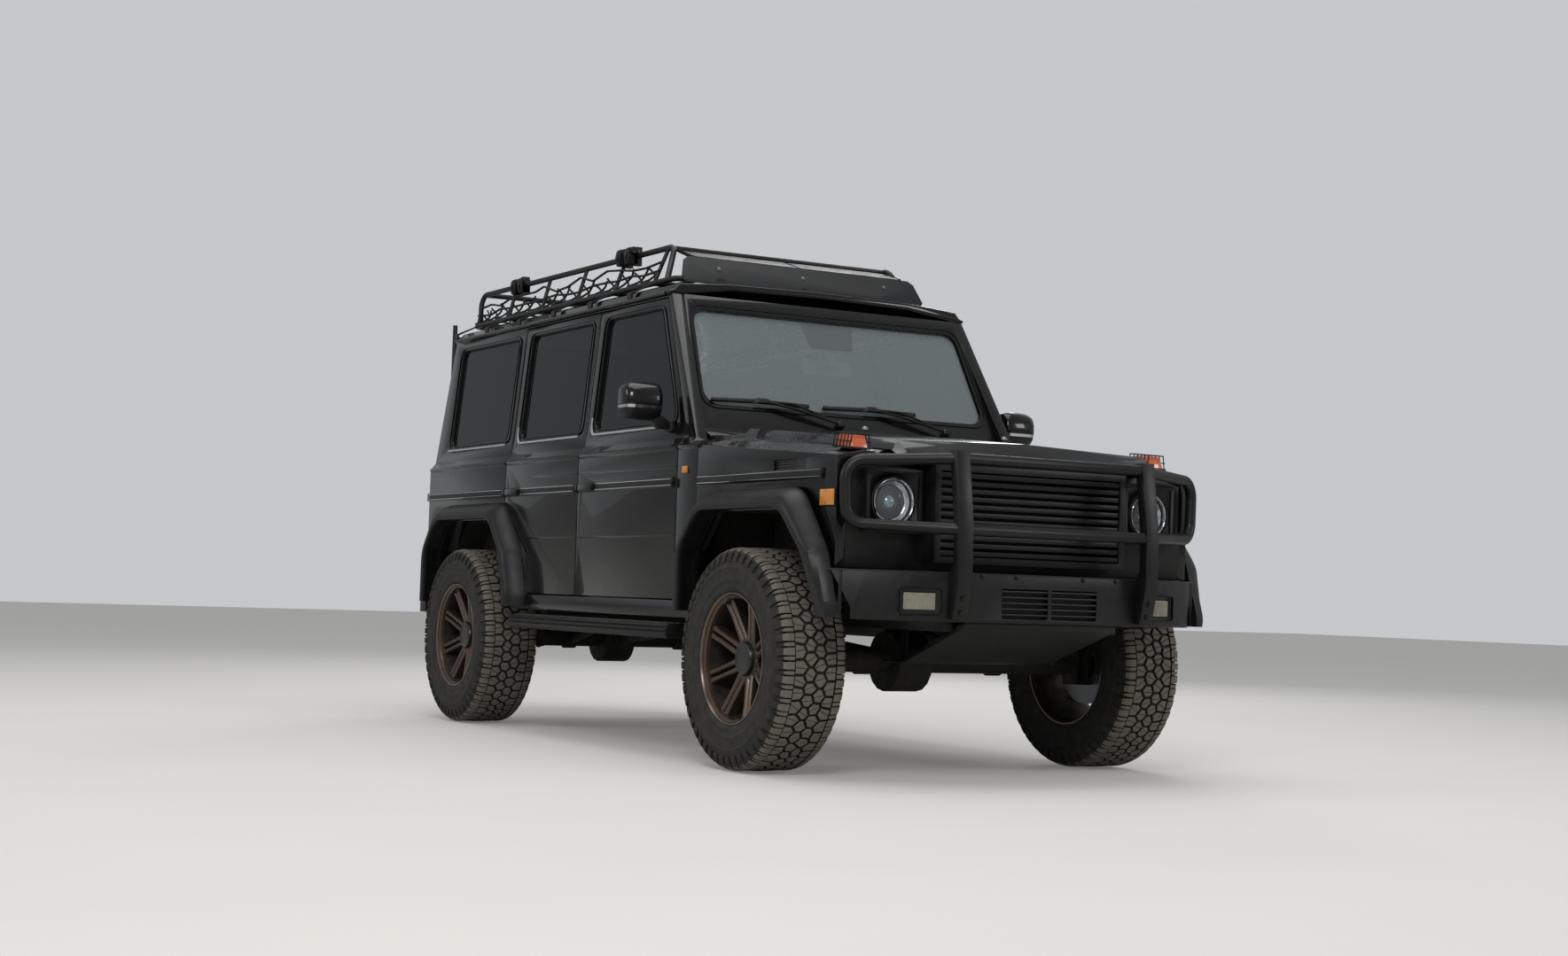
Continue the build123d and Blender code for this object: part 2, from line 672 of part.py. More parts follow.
# Brush guard: two flat uprights, a top tube, a middle tube and loops round the headlamps
guard_x = front_x + front_reach
upright_y = 388
upright_width = 56
tube_radius = 21
guard_top_z = 1138
guard_mid_z = 884
guard_outer_y = body_half - 29
upright_outline = [
    (bumper_x + seat_gap, 566),
    (bumper_x + 32, 566),
    (guard_x, 700),
    (guard_x, 900),
    (front_x + 792, 1166),
    (front_x + 752, 1166),
    (guard_x - 40, 890),
    (guard_x - 40, 760),
    (bumper_x + seat_gap, bumper_top - 10),
]
with BuildPart() as brush_guard:
    for side in (-1, 1):
        y_span = sorted((side * upright_y, side * (upright_y + upright_width)))
        side_slab(upright_outline, y_span[0], y_span[1])
        loop_points = [
            (front_x + 772, side * (upright_y + 20), guard_top_z),
            (front_x + 600, side * guard_outer_y, guard_top_z - 18),
            (front_x + 602, side * (guard_outer_y - 6), guard_mid_z + 12),
            (guard_x - 22, side * (upright_y + 20), guard_mid_z),
        ]
        tube_path(loop_points, tube_radius, 70)
    for x, z in ((front_x + 772, guard_top_z), (guard_x - 22, guard_mid_z)):
        rod((x, -upright_y - 10, z), (x, upright_y + 10, z), tube_radius)
save(brush_guard, "brush_guard")

# Wheel flares: angular bands that stand out from the body
with BuildPart() as wheel_flares:
    for arch, bottom in ((front_arch, 560), (rear_arch, 545)):
        faces = []
        for y, grow in ((-body_half - seat_gap, flare_band + 14), (-flare_half, flare_band - 30)):
            outer = arch(grow, bottom)
            inner = arch(0, bottom)
            with BuildSketch(Plane.XZ.offset(-y)) as band:
                Polygon(*(outer + inner[::-1]), align=None)
            faces.append(band.sketch.face())
        loft(sections=faces, ruled=True)
    foot_taper = [(-flare_half - 1, 900), (-bumper_half - 8, 540), (-flare_half - 1, 540)]
    cross_slab(foot_taper, front_x + 350, front_x + 700, mode=Mode.SUBTRACT)
    mirror(about=Plane.XZ)
save(wheel_flares, "wheel_flares")

# Running boards on brackets from the rails
board_front_x = front_x - front_arch_behind - flare_band - 40
board_rear_x = rear_x + rear_arch_ahead + flare_band + 10
board_inner = body_half - 115
with BuildPart() as running_boards:
    board = [
        # outwards from the board's inner edge, and height: top, then three ribs down the outer face
        (0, 506), (174, 506), (193, 496), (184, 490), (196, 480), (186, 474), (196, 464), (180, 446), (0, 450),
    ]
    cross_slab([(-board_inner - out, z) for out, z in board], board_rear_x, board_front_x)
    for x in (board_front_x - 120, (board_front_x + board_rear_x) / 2, board_rear_x + 120):
        block((x - 30, x + 30), (-board_inner - 5, -rail_outer), (470, 500))
        block((x - 30, x + 30), (-rail_outer - 12, -rail_outer), (470, 580))
    mirror(about=Plane.XZ)
save(running_boards, "running_boards")

# Roof rack: low rail, high rail with its front hoop, posts, slats, gutter feet and the front louvre
rack_low_z = 1975
rack_high_z = 2138
rack_half = gutter_half - 108
rack_high_half = rack_half - 28
rack_front_x = front_x - 1115
rack_rear_x = tail_x + 30
rack_tube = 13
post_x = [rack_rear_x + 60 + i * (rack_front_x - rack_rear_x - 290) / 5 for i in range(6)]
high_rear_x = rack_rear_x + 20
high_front_x = rack_front_x - 175
high_front_half = rack_high_half - 40


def high_half(x):
    """Half width of the high rail at a station."""
    share = (x - high_rear_x) / (high_front_x - high_rear_x)
    return rack_high_half + (high_front_half - rack_high_half) * share


with BuildPart() as roof_rack:
    low_loop = [
        (rack_front_x, -rack_half, rack_low_z),
        (rack_front_x, rack_half, rack_low_z),
        (rack_rear_x, rack_half, rack_low_z),
        (rack_rear_x, -rack_half, rack_low_z),
    ]
    tube_path(low_loop, rack_tube, 60, close=True)
    for side in (-1, 1):
        high_rail = [
            (rack_rear_x + 60, side * (rack_high_half + 14), rack_low_z),
            (high_rear_x, side * rack_high_half, rack_high_z),
            (high_front_x, side * high_front_half, rack_high_z),
            (high_front_x + 60, side * (rack_half - 6), rack_low_z),
        ]
        tube_path(high_rail, rack_tube, 60)
        for x in post_x:
            rod((x, side * rack_half, rack_low_z), (x, side * high_half(x), rack_high_z), 9)
            foot = [
                (side * (gutter_half + 2), gutter_z + 17),
                (side * (gutter_half + 11), gutter_z + 14.6),
                (side * (gutter_half + 11), gutter_z + 40),
                (side * (rack_half + 6), rack_low_z),
                (side * (rack_half - 6), rack_low_z),
                (side * (gutter_half + 2), gutter_z + 36),
            ]
            cross_slab(foot, x - 20, x + 20)
    for x in (front_x - 1699, front_x - 2940):
        for offset in (-45, 45):
            y = -high_half(x)
            clamp_z = (rack_high_z - 45, rack_high_z + 30 + offset / 5)
            block((x + offset - 14, x + offset + 14), (y - 18, y + 18), clamp_z)
    front_bar_x = high_front_x - 60
    for x in (high_rear_x + 50, front_bar_x):
        rod((x, -high_half(x), rack_high_z), (x, high_half(x), rack_high_z), rack_tube)
    for x in post_x:
        rod((x, -rack_half, rack_low_z), (x, rack_half, rack_low_z), rack_tube)
    slat_pitch = (rack_half - 140) / 3
    for i in range(-3, 4):
        y = i * slat_pitch
        block((rack_rear_x, rack_front_x), (y - 22, y + 22), (rack_low_z + 9, rack_low_z + 16))
    louvre_half = high_front_half - 24
    louvre_end_x = high_front_x + 136
    louvre_plate = [
        (front_bar_x + 4, rack_high_z + 3),
        (front_bar_x + 4, rack_high_z - 7),
        (louvre_end_x - 4, rack_high_z - 70),
        (louvre_end_x, rack_high_z - 54),
    ]
    for y in (-louvre_half, 0, louvre_half):
        side_slab(louvre_plate, y - 4, y + 4)
    for i in range(4):
        slat_x = louvre_end_x - 26 - 38 * i
        slat_z = rack_high_z - 48 + 11 * i
        slat = [(slat_x, slat_z), (slat_x + 22, slat_z - 7), (slat_x + 22, slat_z - 11), (slat_x, slat_z - 4)]
        side_slab(slat, -louvre_half, louvre_half)
save(roof_rack, "roof_rack")

# Wind deflector: a leaning plate with chamfered corners
with BuildPart() as wind_deflector:
    deflector_foot = rack_front_x + rack_tube + 20
    lean = [
        (deflector_foot, 1957),
        (deflector_foot - 62, 2077),
        (deflector_foot - 68, 2077),
        (deflector_foot - 6, 1957),
    ]
    deflector_half = rack_half - 8
    side_slab(lean, -deflector_half, deflector_half)
    right_edge = [
        (-deflector_half + 16, 1957),
        (-deflector_half, 1975),
        (-deflector_half + 27, 2060),
        (-deflector_half + 52, 2077),
    ]
    with BuildSketch(Plane.YZ) as plate:
        Polygon(*(right_edge + [(-y, z) for y, z in reversed(right_edge)]), align=None)
    extrude(plate.sketch, amount=front_x * 2, both=True, mode=Mode.INTERSECT)
    for y in (-420, 0, 420):
        foot_x = (rack_front_x + rack_tube + seat_gap, deflector_foot - 8)
        block(foot_x, (y - 20, y + 20), (rack_low_z - 12, rack_low_z + 12))
save(wind_deflector, "wind_deflector")

# Seats: two front seats and the rear bench
seat_y = 370
floor_top = floor_z + floor_thickness
seat_side = [
    # x behind the front axle, z above the floor
    (1290, 270), (1270, 350), (1300, 390), (1690, 360), (1830, 900),
    (1870, 905), (1900, 870), (1780, 290), (1760, 230), (1340, 230),
]
with BuildPart() as seats:
    for y, half_width, shift in ((-seat_y, 250, 0), (seat_y, 250, 0), (0, 560, 800)):
        outline = [(front_x - x - shift, floor_top + z) for x, z in seat_side]
        side_slab(outline, y - half_width, y + half_width)
        base_x = front_x - 1550 - shift
        base_y = (y - 0.8 * half_width, y + 0.8 * half_width)
        block((base_x - 160, base_x + 160), base_y, (floor_top + seat_gap, floor_top + 240))
        head_ys = (y,) if shift == 0 else (-400, 0, 400)
        for head_y in head_ys:
            head_x = front_x - 1862 - shift
            block((head_x - 45, head_x + 45), (head_y - 125, head_y + 125), (floor_top + 925, floor_top + 1070))
            rod((head_x, head_y - 50, floor_top + 880), (head_x, head_y - 50, floor_top + 930), 6)
            rod((head_x, head_y + 50, floor_top + 880), (head_x, head_y + 50, floor_top + 930), 6)
save(seats, "seats")

# Dashboard with centre console and steering column shroud
column_y = 370
wheel_centre = (front_x - 1090, column_y, 1235)
column_run = (0.87, 0, -0.49)
column_bore = 14
dash_x = bulkhead_x
with BuildPart() as dashboard:
    dash_back = frame_depth + 8
    dash = [
        (dash_x - seat_gap, 980),
        (dash_x - seat_gap, bulkhead_top - 10),
        (screen_x(bulkhead_top) - dash_back, bulkhead_top - 10),
        (screen_x(1310) - dash_back, 1310),
        (dash_x - 300, 1300),
        (dash_x - 370, 1200),
        (dash_x - 290, 980),
    ]
    side_slab(dash, -cabin_half + 40, cabin_half - 40)
    block((dash_x - 900, dash_x - 200), (-110, 110), (floor_top + seat_gap, 920))
    block((dash_x - 340, dash_x - 200), (-110, 110), (900, 1000))
    column_start, bore_end, column_end = (
        tuple(c + reach * d for c, d in zip(wheel_centre, column_run)) for reach in (90, 200, 330)
    )
    rod(column_start, column_end, 40)
    rod(column_start, bore_end, column_bore + bearing_gap, mode=Mode.SUBTRACT)
save(dashboard, "dashboard")

# Steering wheel on its shaft
with BuildPart() as steering_wheel:
    wheel_plane = Plane(origin=wheel_centre, x_dir=(0, 1, 0), z_dir=column_run)
    with BuildSketch(wheel_plane.offset(-14)) as rim_ring:
        RegularPolygon(190, 24)
        RegularPolygon(164, 24, mode=Mode.SUBTRACT)
    extrude(rim_ring.sketch, amount=28)
    with BuildSketch(wheel_plane.offset(4)) as spokes:
        with PolarLocations(0, 3, start_angle=90):
            Rectangle(172, 36, align=(Align.MIN, Align.CENTER))
    extrude(spokes.sketch, amount=12)
    with BuildSketch(wheel_plane.offset(-10)) as hub:
        RegularPolygon(62, 12)
    extrude(hub.sketch, amount=80)
    with BuildSketch(wheel_plane.offset(70)) as shaft:
        Circle(column_bore)
    extrude(shaft.sketch, amount=120)
save(steering_wheel, "steering_wheel")

# Engine, gearbox and transfer case as one mass, with the two propeller shafts
front_diff_y = -150
rear_diff_y = -60
diff_radius = 118
case_x = front_x - 1560
with BuildPart() as powertrain:
    block((front_x - 440, front_x + 330), (-230, 230), (rail_top - 30, 1085))
    for x in (front_x - 250, case_x):
        block((x - 50, x + 50), (-rail_inner, rail_inner), (rail_top - 60, rail_top - 20))
    gearbox = [
        (front_x - 430, 620),
        (front_x - 430, 650),
        (case_x + 100, 640),
        (case_x + 100, 480),
        (front_x - 600, 480),
        (front_x - 430, 560),
    ]
    side_slab(gearbox, -120, 120)
    block((case_x - 120, case_x + 120), (-190, 140), (430, 650))
    front_shaft = ((case_x + 119, front_diff_y, 500), (front_x - diff_radius - 30, front_diff_y, hub_z + 10))
    rear_shaft = ((case_x - 119, rear_diff_y, 500), (rear_x + diff_radius + 30, rear_diff_y, hub_z + 10))
    rod(*front_shaft, 32)
    rod(*rear_shaft, 32)
save(powertrain, "powertrain")

# Axles: tubes, differential housings and spring seats
spring_y = rail_half + 92
spring_radius = 54
spring_seat_z = hub_z + axle_radius + 6
axle_half = kingpin_half - 20


def axle_body(hub_x, diff_y, half):
    rod((hub_x, -half, hub_z), (hub_x, half, hub_z), axle_radius)
    with BuildSketch(Plane(origin=(hub_x, diff_y - 75, hub_z), z_dir=(0, 1, 0))) as housing:
        RegularPolygon(diff_radius, 16)
    extrude(housing.sketch, amount=150)
    nose = diff_radius + 27
    toward = -1 if hub_x > 0 else 1
    rod((hub_x, diff_y, hub_z + 8), (hub_x + toward * nose, diff_y, hub_z + 10), 50)
    for side in (-1, 1):
        rod((hub_x, side * spring_y, hub_z), (hub_x, side * spring_y, spring_seat_z), spring_radius - 8)


with BuildPart() as front_axle:
    axle_body(front_x, front_diff_y, axle_half)
    for side in (-1, 1):
        pin_y = side * kingpin_half
        rod((front_x, pin_y, hub_z - 60), (front_x, pin_y, hub_z + 60), 34)
        rod((front_x, pin_y, hub_z - 84), (front_x, pin_y, hub_z + 84), 15)
save(front_axle, "front_axle")

stub_start = track_half - rim_width / 2 + 92
with BuildPart() as rear_axle:
    axle_body(rear_x, rear_diff_y, stub_start - 2)
    for side in (-1, 1):
        rod((rear_x, side * (stub_start - 16), hub_z), (rear_x, side * (stub_start - 1), hub_z), 62)
        rod((rear_x, side * (stub_start - 2), hub_z), (rear_x, side * (stub_start + 50), hub_z), spindle_radius)
save(rear_axle, "rear_axle")

# Suspension: coil springs drawn as sleeves, dampers and radius arms
with BuildPart() as suspension:
    for hub_x, reach in ((front_x, -1), (rear_x, 1)):
        sleeve = [(hub_x, spring_y, z) for z in (spring_seat_z + seat_gap, rail_top - 20 - seat_gap)]
        sleeve_bore = [(hub_x, spring_y, z) for z in (spring_seat_z - 1, rail_top)]
        rod(*sleeve, spring_radius)
        rod(*sleeve_bore, spring_radius - 14, mode=Mode.SUBTRACT)
        arm_y = rail_half - rail_width / 2 - 32
        arm_start = (hub_x + reach * (axle_radius + 1), arm_y, hub_z)
        arm_end = (hub_x + reach * 820, arm_y, rail_bottom + 30)
        rod(arm_start, arm_end, 24)
        block((arm_end[0] - 30, arm_end[0] + 30), (arm_y - 20, rail_inner), (rail_bottom, rail_bottom + 60))
    mirror(about=Plane.XZ)
save(suspension, "suspension")

# Knuckles: fork round the kingpin, web and wheel spindle
hub_back = track_half - rim_width / 2 + 92
for side, name in side_names:
    with BuildPart() as knuckle:
        pin_y = side * kingpin_half
        web = sorted((side * (kingpin_half + 44), side * (kingpin_half + 60)))
        for low, high in ((hub_z + 60 + seat_gap, hub_z + 84), (hub_z - 84, hub_z - 60 - seat_gap)):
            rod((front_x, pin_y, low), (front_x, pin_y, high), 36)
            arm = sorted((pin_y, side * (kingpin_half + 60)))
            block((front_x - 30, front_x + 30), arm, (low, high))
            rod((front_x, pin_y, low - 1), (front_x, pin_y, high + 1), 15 + bearing_gap, mode=Mode.SUBTRACT)
        block((front_x - 45, front_x + 45), web, (hub_z - 84, hub_z + 84))
        spindle = [(front_x, side * y, hub_z) for y in (kingpin_half + 60, hub_back + 50)]
        rod(*spindle, spindle_radius)
    save(knuckle, "knuckle_" + name)


# Tyres and rims: polygons of flat bands, with one row of lugs on each shoulder
wheel_bands = (
    # share of the width, share of the radius, from the inner bead out to the outer bead
    (-0.43, 0.60), (-0.5, 0.78), (-0.44, 0.955), (0.44, 0.955), (0.5, 0.78), (0.43, 0.60),
)
bead_radius = rim_radius - 16
flat_turn = 180 / tyre_sides
lug_width = 50
lug_span = (8, 134)


def tyre_solid(axle):
    """Tyre round a plane at the wheel's middle whose normal is its axis, with a lug straight down its y."""
    faces = []
    for share, radius_share in wheel_bands:
        with BuildSketch(axle.offset(share * tyre_width)) as ring:
            RegularPolygon(radius_share * tyre_radius, tyre_sides, rotation=flat_turn + 90)
        faces.append(ring.sketch.face())
    loft(sections=faces, ruled=True)
    for side, turn in ((1, 0), (-1, flat_turn)):
        lug_start = lug_span[0] if side > 0 else -lug_span[1]
        with BuildSketch(axle.offset(lug_start)) as lugs:
            with PolarLocations(0, tyre_sides, start_angle=90 + turn):
                with Locations((tyre_radius, 0)):
                    Rectangle(0.08 * tyre_radius, lug_width, align=(Align.MAX, Align.CENTER))
        extrude(lugs.sketch, amount=lug_span[1] - lug_span[0])
    with BuildSketch(axle.offset(-tyre_width)) as bore:
        RegularPolygon(bead_radius, tyre_sides, rotation=flat_turn + 90)
    extrude(bore.sketch, amount=2 * tyre_width, mode=Mode.SUBTRACT)


spoke_count = 8
hub_radius = 72
hub_seat = 92.5 - rim_width / 2
flange_start = 0.43 * tyre_width + seat_gap


def rim_solid(wheel_axis, hub_back, hub_front):
    """Rim on a plane at the wheel's middle with an outward normal: barrel, flanges, split spokes, hub."""
    turn = flat_turn + 90
    with BuildSketch(wheel_axis.offset(-flange_start - 6)) as barrel:
        RegularPolygon(bead_radius - seat_gap, tyre_sides, rotation=turn)
        RegularPolygon(bead_radius - 14, tyre_sides, rotation=turn, mode=Mode.SUBTRACT)
    extrude(barrel.sketch, amount=2 * flange_start + 12)
    for start in (-flange_start - 6, flange_start):
        with BuildSketch(wheel_axis.offset(start)) as flange:
            RegularPolygon(rim_radius + 2, tyre_sides, rotation=turn)
            RegularPolygon(bead_radius - 14, tyre_sides, rotation=turn, mode=Mode.SUBTRACT)
        extrude(flange.sketch, amount=6)
    with BuildSketch(wheel_axis.offset(rim_width / 2 - 58)) as spokes:
        reach = bead_radius - 8
        right_blade = [(50, -14), (120, -17), (reach, -38), (reach, -20)]
        split_spoke = right_blade + [(150, 0)] + [(x, -y) for x, y in reversed(right_blade)]
        with PolarLocations(0, spoke_count):
            Polygon(*split_spoke, align=None)
        RegularPolygon(hub_radius + 4, 16)
    extrude(spokes.sketch, amount=26)
    with BuildSketch(wheel_axis.offset(hub_back)) as hub:
        RegularPolygon(hub_radius, 16)
    extrude(hub.sketch, amount=hub_front - hub_back)


wheel_places = [
    (end + "_" + name, hub_x, side)
    for end, hub_x in (("front", front_x), ("rear", rear_x))
    for side, name in side_names
]
for place, hub_x, side in wheel_places:
    wheel_axis = Plane(origin=(hub_x, side * track_half, hub_z), x_dir=(1, 0, 0), z_dir=(0, side, 0))
    with BuildPart() as tyre:
        tyre_solid(wheel_axis)
    save(tyre, "tyre_" + place)
    with BuildPart() as rim:
        rim_solid(wheel_axis, hub_seat, rim_width / 2 - 24)
        with BuildSketch(wheel_axis.offset(hub_seat - 1)) as bore:
            Circle(spindle_radius + bearing_gap)
        extrude(bore.sketch, amount=60, mode=Mode.SUBTRACT)
    save(rim, "rim_" + place)

# Side doors, their glass and the mirrors
door_shapes = {
    # outline, window, and the rear and front edges
    "front": (front_door_outline, front_window, (door_split_x, door_front_x)),
    "rear": (rear_door_outline, rear_window, (door_rear_x, door_split_x)),
}
for side, name in side_names:
    for end, (outline, window, edges) in door_shapes.items():
        with BuildPart() as door:
            cross_slab(wall_outline(side, 0, door_low, door_high, sill_z, gutter_z), tail_x, cowl_x)
            side_slab(outline(0), -body_half - 1, body_half + 1, mode=Mode.INTERSECT)
            side_slab(window, -body_half - 1, body_half + 1, mode=Mode.SUBTRACT, corner=window_corner)
            if end == "rear":
                gap_edge = door_split_x - running_gap
                ahead = [(gap_edge, 0), (gap_edge + 200, 0), (gap_edge + 200, roof_z), (gap_edge, roof_z)]
                side_slab(ahead, -body_half - 1, body_half + 1, mode=Mode.SUBTRACT)
            rear_edge, front_edge = edges
            handle = sorted((side * (body_half - 1), side * (body_half + 26)))
            block((rear_edge + 20, rear_edge + 40), handle, (strip_z - 12, strip_z + 12))
            block((rear_edge + 52, rear_edge + 190), handle, (strip_z - 14, strip_z + 14))
            strip = sorted((side * (body_half - 1), side * (body_half + strip_proud)))
            block((rear_edge + 200, front_edge - 20), strip, (strip_z - 20, strip_z + 20))
            crease_rear_x = max(rear_edge, rear_x + rear_arch_ahead + flare_band + 10) + 20
            crease = [(body_half - 1, -9), (body_half + 4, 0), (body_half - 1, 9)]
            cross_slab([(side * y, crease_z + z) for y, z in crease], crease_rear_x, front_edge - 20)
        save(door, "door_" + end + "_" + name)
        with BuildPart() as door_glass:
            pane_depth = 12 + glass_thickness
            cross_slab(wall_outline(side, 12, pane_depth, pane_depth, 1200, gutter_z), tail_x, cowl_x)
            pane_outline = shrink(window, seat_gap)
            side_slab(pane_outline, -body_half - 1, body_half + 1, mode=Mode.INTERSECT, corner=window_corner)
        save(door_glass, "glass_" + end + "_" + name)
    with BuildPart() as mirror_unit:
        shell = [
            (front_x - 745, 1345), (front_x - 735, 1440), (front_x - 775, 1480),
            (front_x - 860, 1470), (front_x - 860, 1335), (front_x - 790, 1325),
        ]
        shell_span = sorted((side * (body_half + 35), side * (body_half + 197)))
        side_slab(shell, shell_span[0], shell_span[1])
        arm_end_y = body_half + 57
        arm_span = sorted((side * (shoulder_half - 12), side * arm_end_y))
        block((front_x - 812, front_x - 768), arm_span, (1292, 1322))
        block((front_x - 812, front_x - 768), sorted((side * (arm_end_y - 21), side * arm_end_y)), (1292, 1350))
        cross_slab(wall_outline(side, -seat_gap, 60, 60, 1200, gutter_z), tail_x, cowl_x, mode=Mode.SUBTRACT)
    save(mirror_unit, "mirror_" + name)

# Rear door hinged at the vehicle's right, its glass, ladder and spare wheel
tail_door_bottom = 604
tail_skin = 50
latch_z = 1120
tail_window_half = tail_door_half - 170
tail_corner = 50
tail_window = [
    (-tail_window_half, 1310),
    (-tail_window_half + 20, 1790),
    (tail_window_half - 20, 1790),
    (tail_window_half, 1310),
]


def tail_face_x(z):
    """Outer face of the rear door at a height."""
    return tail_x + max(0, (z - belt_z) * tail_lean / (gutter_z - belt_z))


tail_top = door_top_z - 16
tail_section = [
    (tail_x, tail_door_bottom),
    (tail_x, belt_z),
    (tail_face_x(tail_top), tail_top),
    (tail_face_x(tail_top) + tail_skin, tail_top),
    (tail_x + tail_skin, belt_z),
    (tail_x + tail_skin, tail_door_bottom),
]
tail_edge = [(-tail_door_half, tail_door_bottom), (-tail_door_half, belt_z), (-tail_door_half + 40, tail_top)]
tail_frame = tail_edge + [(-y, z) for y, z in reversed(tail_edge)]
with BuildPart() as rear_door:
    side_slab(tail_section, -tail_door_half, tail_door_half)
    with BuildSketch(Plane.YZ) as tail_view:
        Polygon(*tail_frame, align=None)
    extrude(tail_view.sketch, amount=-overall_length, mode=Mode.INTERSECT)
    front_view_cut(tail_window, tail_corner, Mode.SUBTRACT)
    spare_back_x = -overall_length / 2 + tyre_width
    spare_y = 30
    spare_z = 1090
    rod((tail_x, spare_y, spare_z), (spare_back_x - 26, spare_y, spare_z), 90)
    block((tail_x - 12, tail_x + 1), (tail_door_half - 130, tail_door_half - 90), (latch_z - 60, latch_z + 60))
    for z in tail_hinge_zs:
        block((hinge_x - 6, tail_x + 1), (tail_hinge_y + 7, tail_hinge_y + 60), (z - 14, z + 14))
        rod((hinge_x, tail_hinge_y, z - 14), (hinge_x, tail_hinge_y, z + 14), hinge_pin + 5)
        bore = ((hinge_x, tail_hinge_y, z - 15), (hinge_x, tail_hinge_y, z + 15))
        rod(*bore, hinge_pin + bearing_gap, mode=Mode.SUBTRACT)
save(rear_door, "rear_door")

with BuildPart() as rear_glass:
    pane = [
        (tail_x + 12, belt_z), (tail_face_x(gutter_z) + 12, gutter_z),
        (tail_face_x(gutter_z) + 18, gutter_z), (tail_x + 18, belt_z),
    ]
    side_slab(pane, -tail_door_half, tail_door_half)
    front_view_cut(shrink(tail_window, seat_gap), tail_corner, Mode.INTERSECT)
save(rear_glass, "rear_glass")

ladder_x = tail_x - 95
ladder_ys = (-tail_door_half + 15, -tail_door_half + 235)
with BuildPart() as ladder:
    for y in ladder_ys:
        ladder_rail = [
            (tail_x - seat_gap, y, 700),
            (ladder_x, y, 700),
            (ladder_x, y, 1990),
            (tail_x + 20, y, 1990),
        ]
        with BuildLine() as ladder_line:
            FilletPolyline(*ladder_rail[:3], radius=40)
        with BuildSketch(ladder_line.line ^ 0) as tube_face:
            Circle(12)
        sweep(tube_face.sketch, path=ladder_line.line)
        rod((tail_x - seat_gap, y, 1190), (ladder_x, y, 1190), 10)
    for i in range(5):
        rung_z = 760 + i * 290
        rod((ladder_x, ladder_ys[0], rung_z), (ladder_x, ladder_ys[1], rung_z), 11)
save(ladder, "ladder")

# Spare wheel on its carrier
spare_x = -overall_length / 2 + tyre_width / 2
spare_axis = Plane(origin=(spare_x, spare_y, spare_z), x_dir=(0, 1, 0), z_dir=(-1, 0, 0))
with BuildPart() as spare_rim:
    rim_solid(spare_axis, 26 + seat_gap - tyre_width / 2, rim_width / 2 - 24)
save(spare_rim, "spare_rim")

with BuildPart() as spare_tyre:
    tyre_solid(spare_axis)
save(spare_tyre, "spare_tyre")

# Rear bumper with wrapped corners, rear lamps, fuel tank and exhaust
rear_bumper_x = tail_x - 60
wrap_x = rear_x - rear_arch_behind - flare_band - 30
with BuildPart() as rear_bumper:
    rear_plan = [
        (rear_bumper_x, 0),
        (rear_bumper_x, -bumper_half + 142),
        (rear_bumper_x + 40, -bumper_half + 7),
        (wrap_x, -bumper_half),
        (wrap_x, -body_half - seat_gap),
        (tail_x - seat_gap, -body_half - seat_gap),
        (tail_x - seat_gap, 0),
    ]
    plan_slab(rear_plan, 490, 596)
    mirror(about=Plane.XZ)
    for side in (-1, 1):
        bracket = sorted((side * (rail_half - 25), side * (rail_half + 25)))
        block((tail_x - 1, rail_rear_x - seat_gap), bracket, (rail_bottom + 10, 590))
save(rear_bumper, "rear_bumper")

with BuildPart() as rear_lamps:
    block((tail_x - 12, tail_x - seat_gap), (-body_half + 15, -tail_door_half - 15), (640, 830))
    mirror(about=Plane.XZ)
save(rear_lamps, "rear_lamps")

with BuildPart() as fuel_tank:
    tank_half = rail_half - rail_width / 2 - 20
    block((rear_x - 600, rear_x - 400), (-tank_half, tank_half), (430, 530))
    block((rear_x - 520, rear_x - 480), (-rail_inner, rail_inner), (525, 540))
save(fuel_tank, "fuel_tank")

with BuildPart() as exhaust:
    muffler_y = 560
    muffler_z = 575
    rod((front_x - 1480, muffler_y, muffler_z), (front_x - 2030, muffler_y, muffler_z), 62)
    rod((front_x - 2029, muffler_y, muffler_z), (front_x - 2180, muffler_y, muffler_z), 26)
    rod((front_x - 800, muffler_y, muffler_z), (front_x - 1481, muffler_y, muffler_z), 26)
    for x in (front_x - 900, front_x - 1950):
        block((x - 12, x + 12), (rail_outer, muffler_y - 10), (muffler_z + 10, muffler_z + 24))
save(exhaust, "exhaust")

# Wipers lying on the foot of the windscreen
with BuildPart() as wipers:
    pivot_z = screen_low_z - 60
    pivot_x = screen_x(pivot_z)
    for y in (-330, 200):
        blade_z = screen_low_z + 22
        blade_x = screen_x(blade_z) - glass_shift
        block((blade_x + 8, blade_x + 30), (y - 330, y + 130), (blade_z - 8, blade_z + 8))
        rod((blade_x + 27, y, blade_z), (pivot_x + 22, y + 260, pivot_z), 9)
        rod((pivot_x + 7.6, y + 260, pivot_z), (pivot_x + 30, y + 260, pivot_z), 14)
save(wipers, "wipers")
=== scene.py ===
"""Looks of the lifted off-road estate car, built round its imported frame."""

import json
import logging
import math
import random
from collections.abc import Callable, Iterable, Sequence
from dataclasses import dataclass
from enum import Enum

import bmesh
import bpy
from mathutils import Matrix, Vector
from mathutils.bvhtree import BVHTree

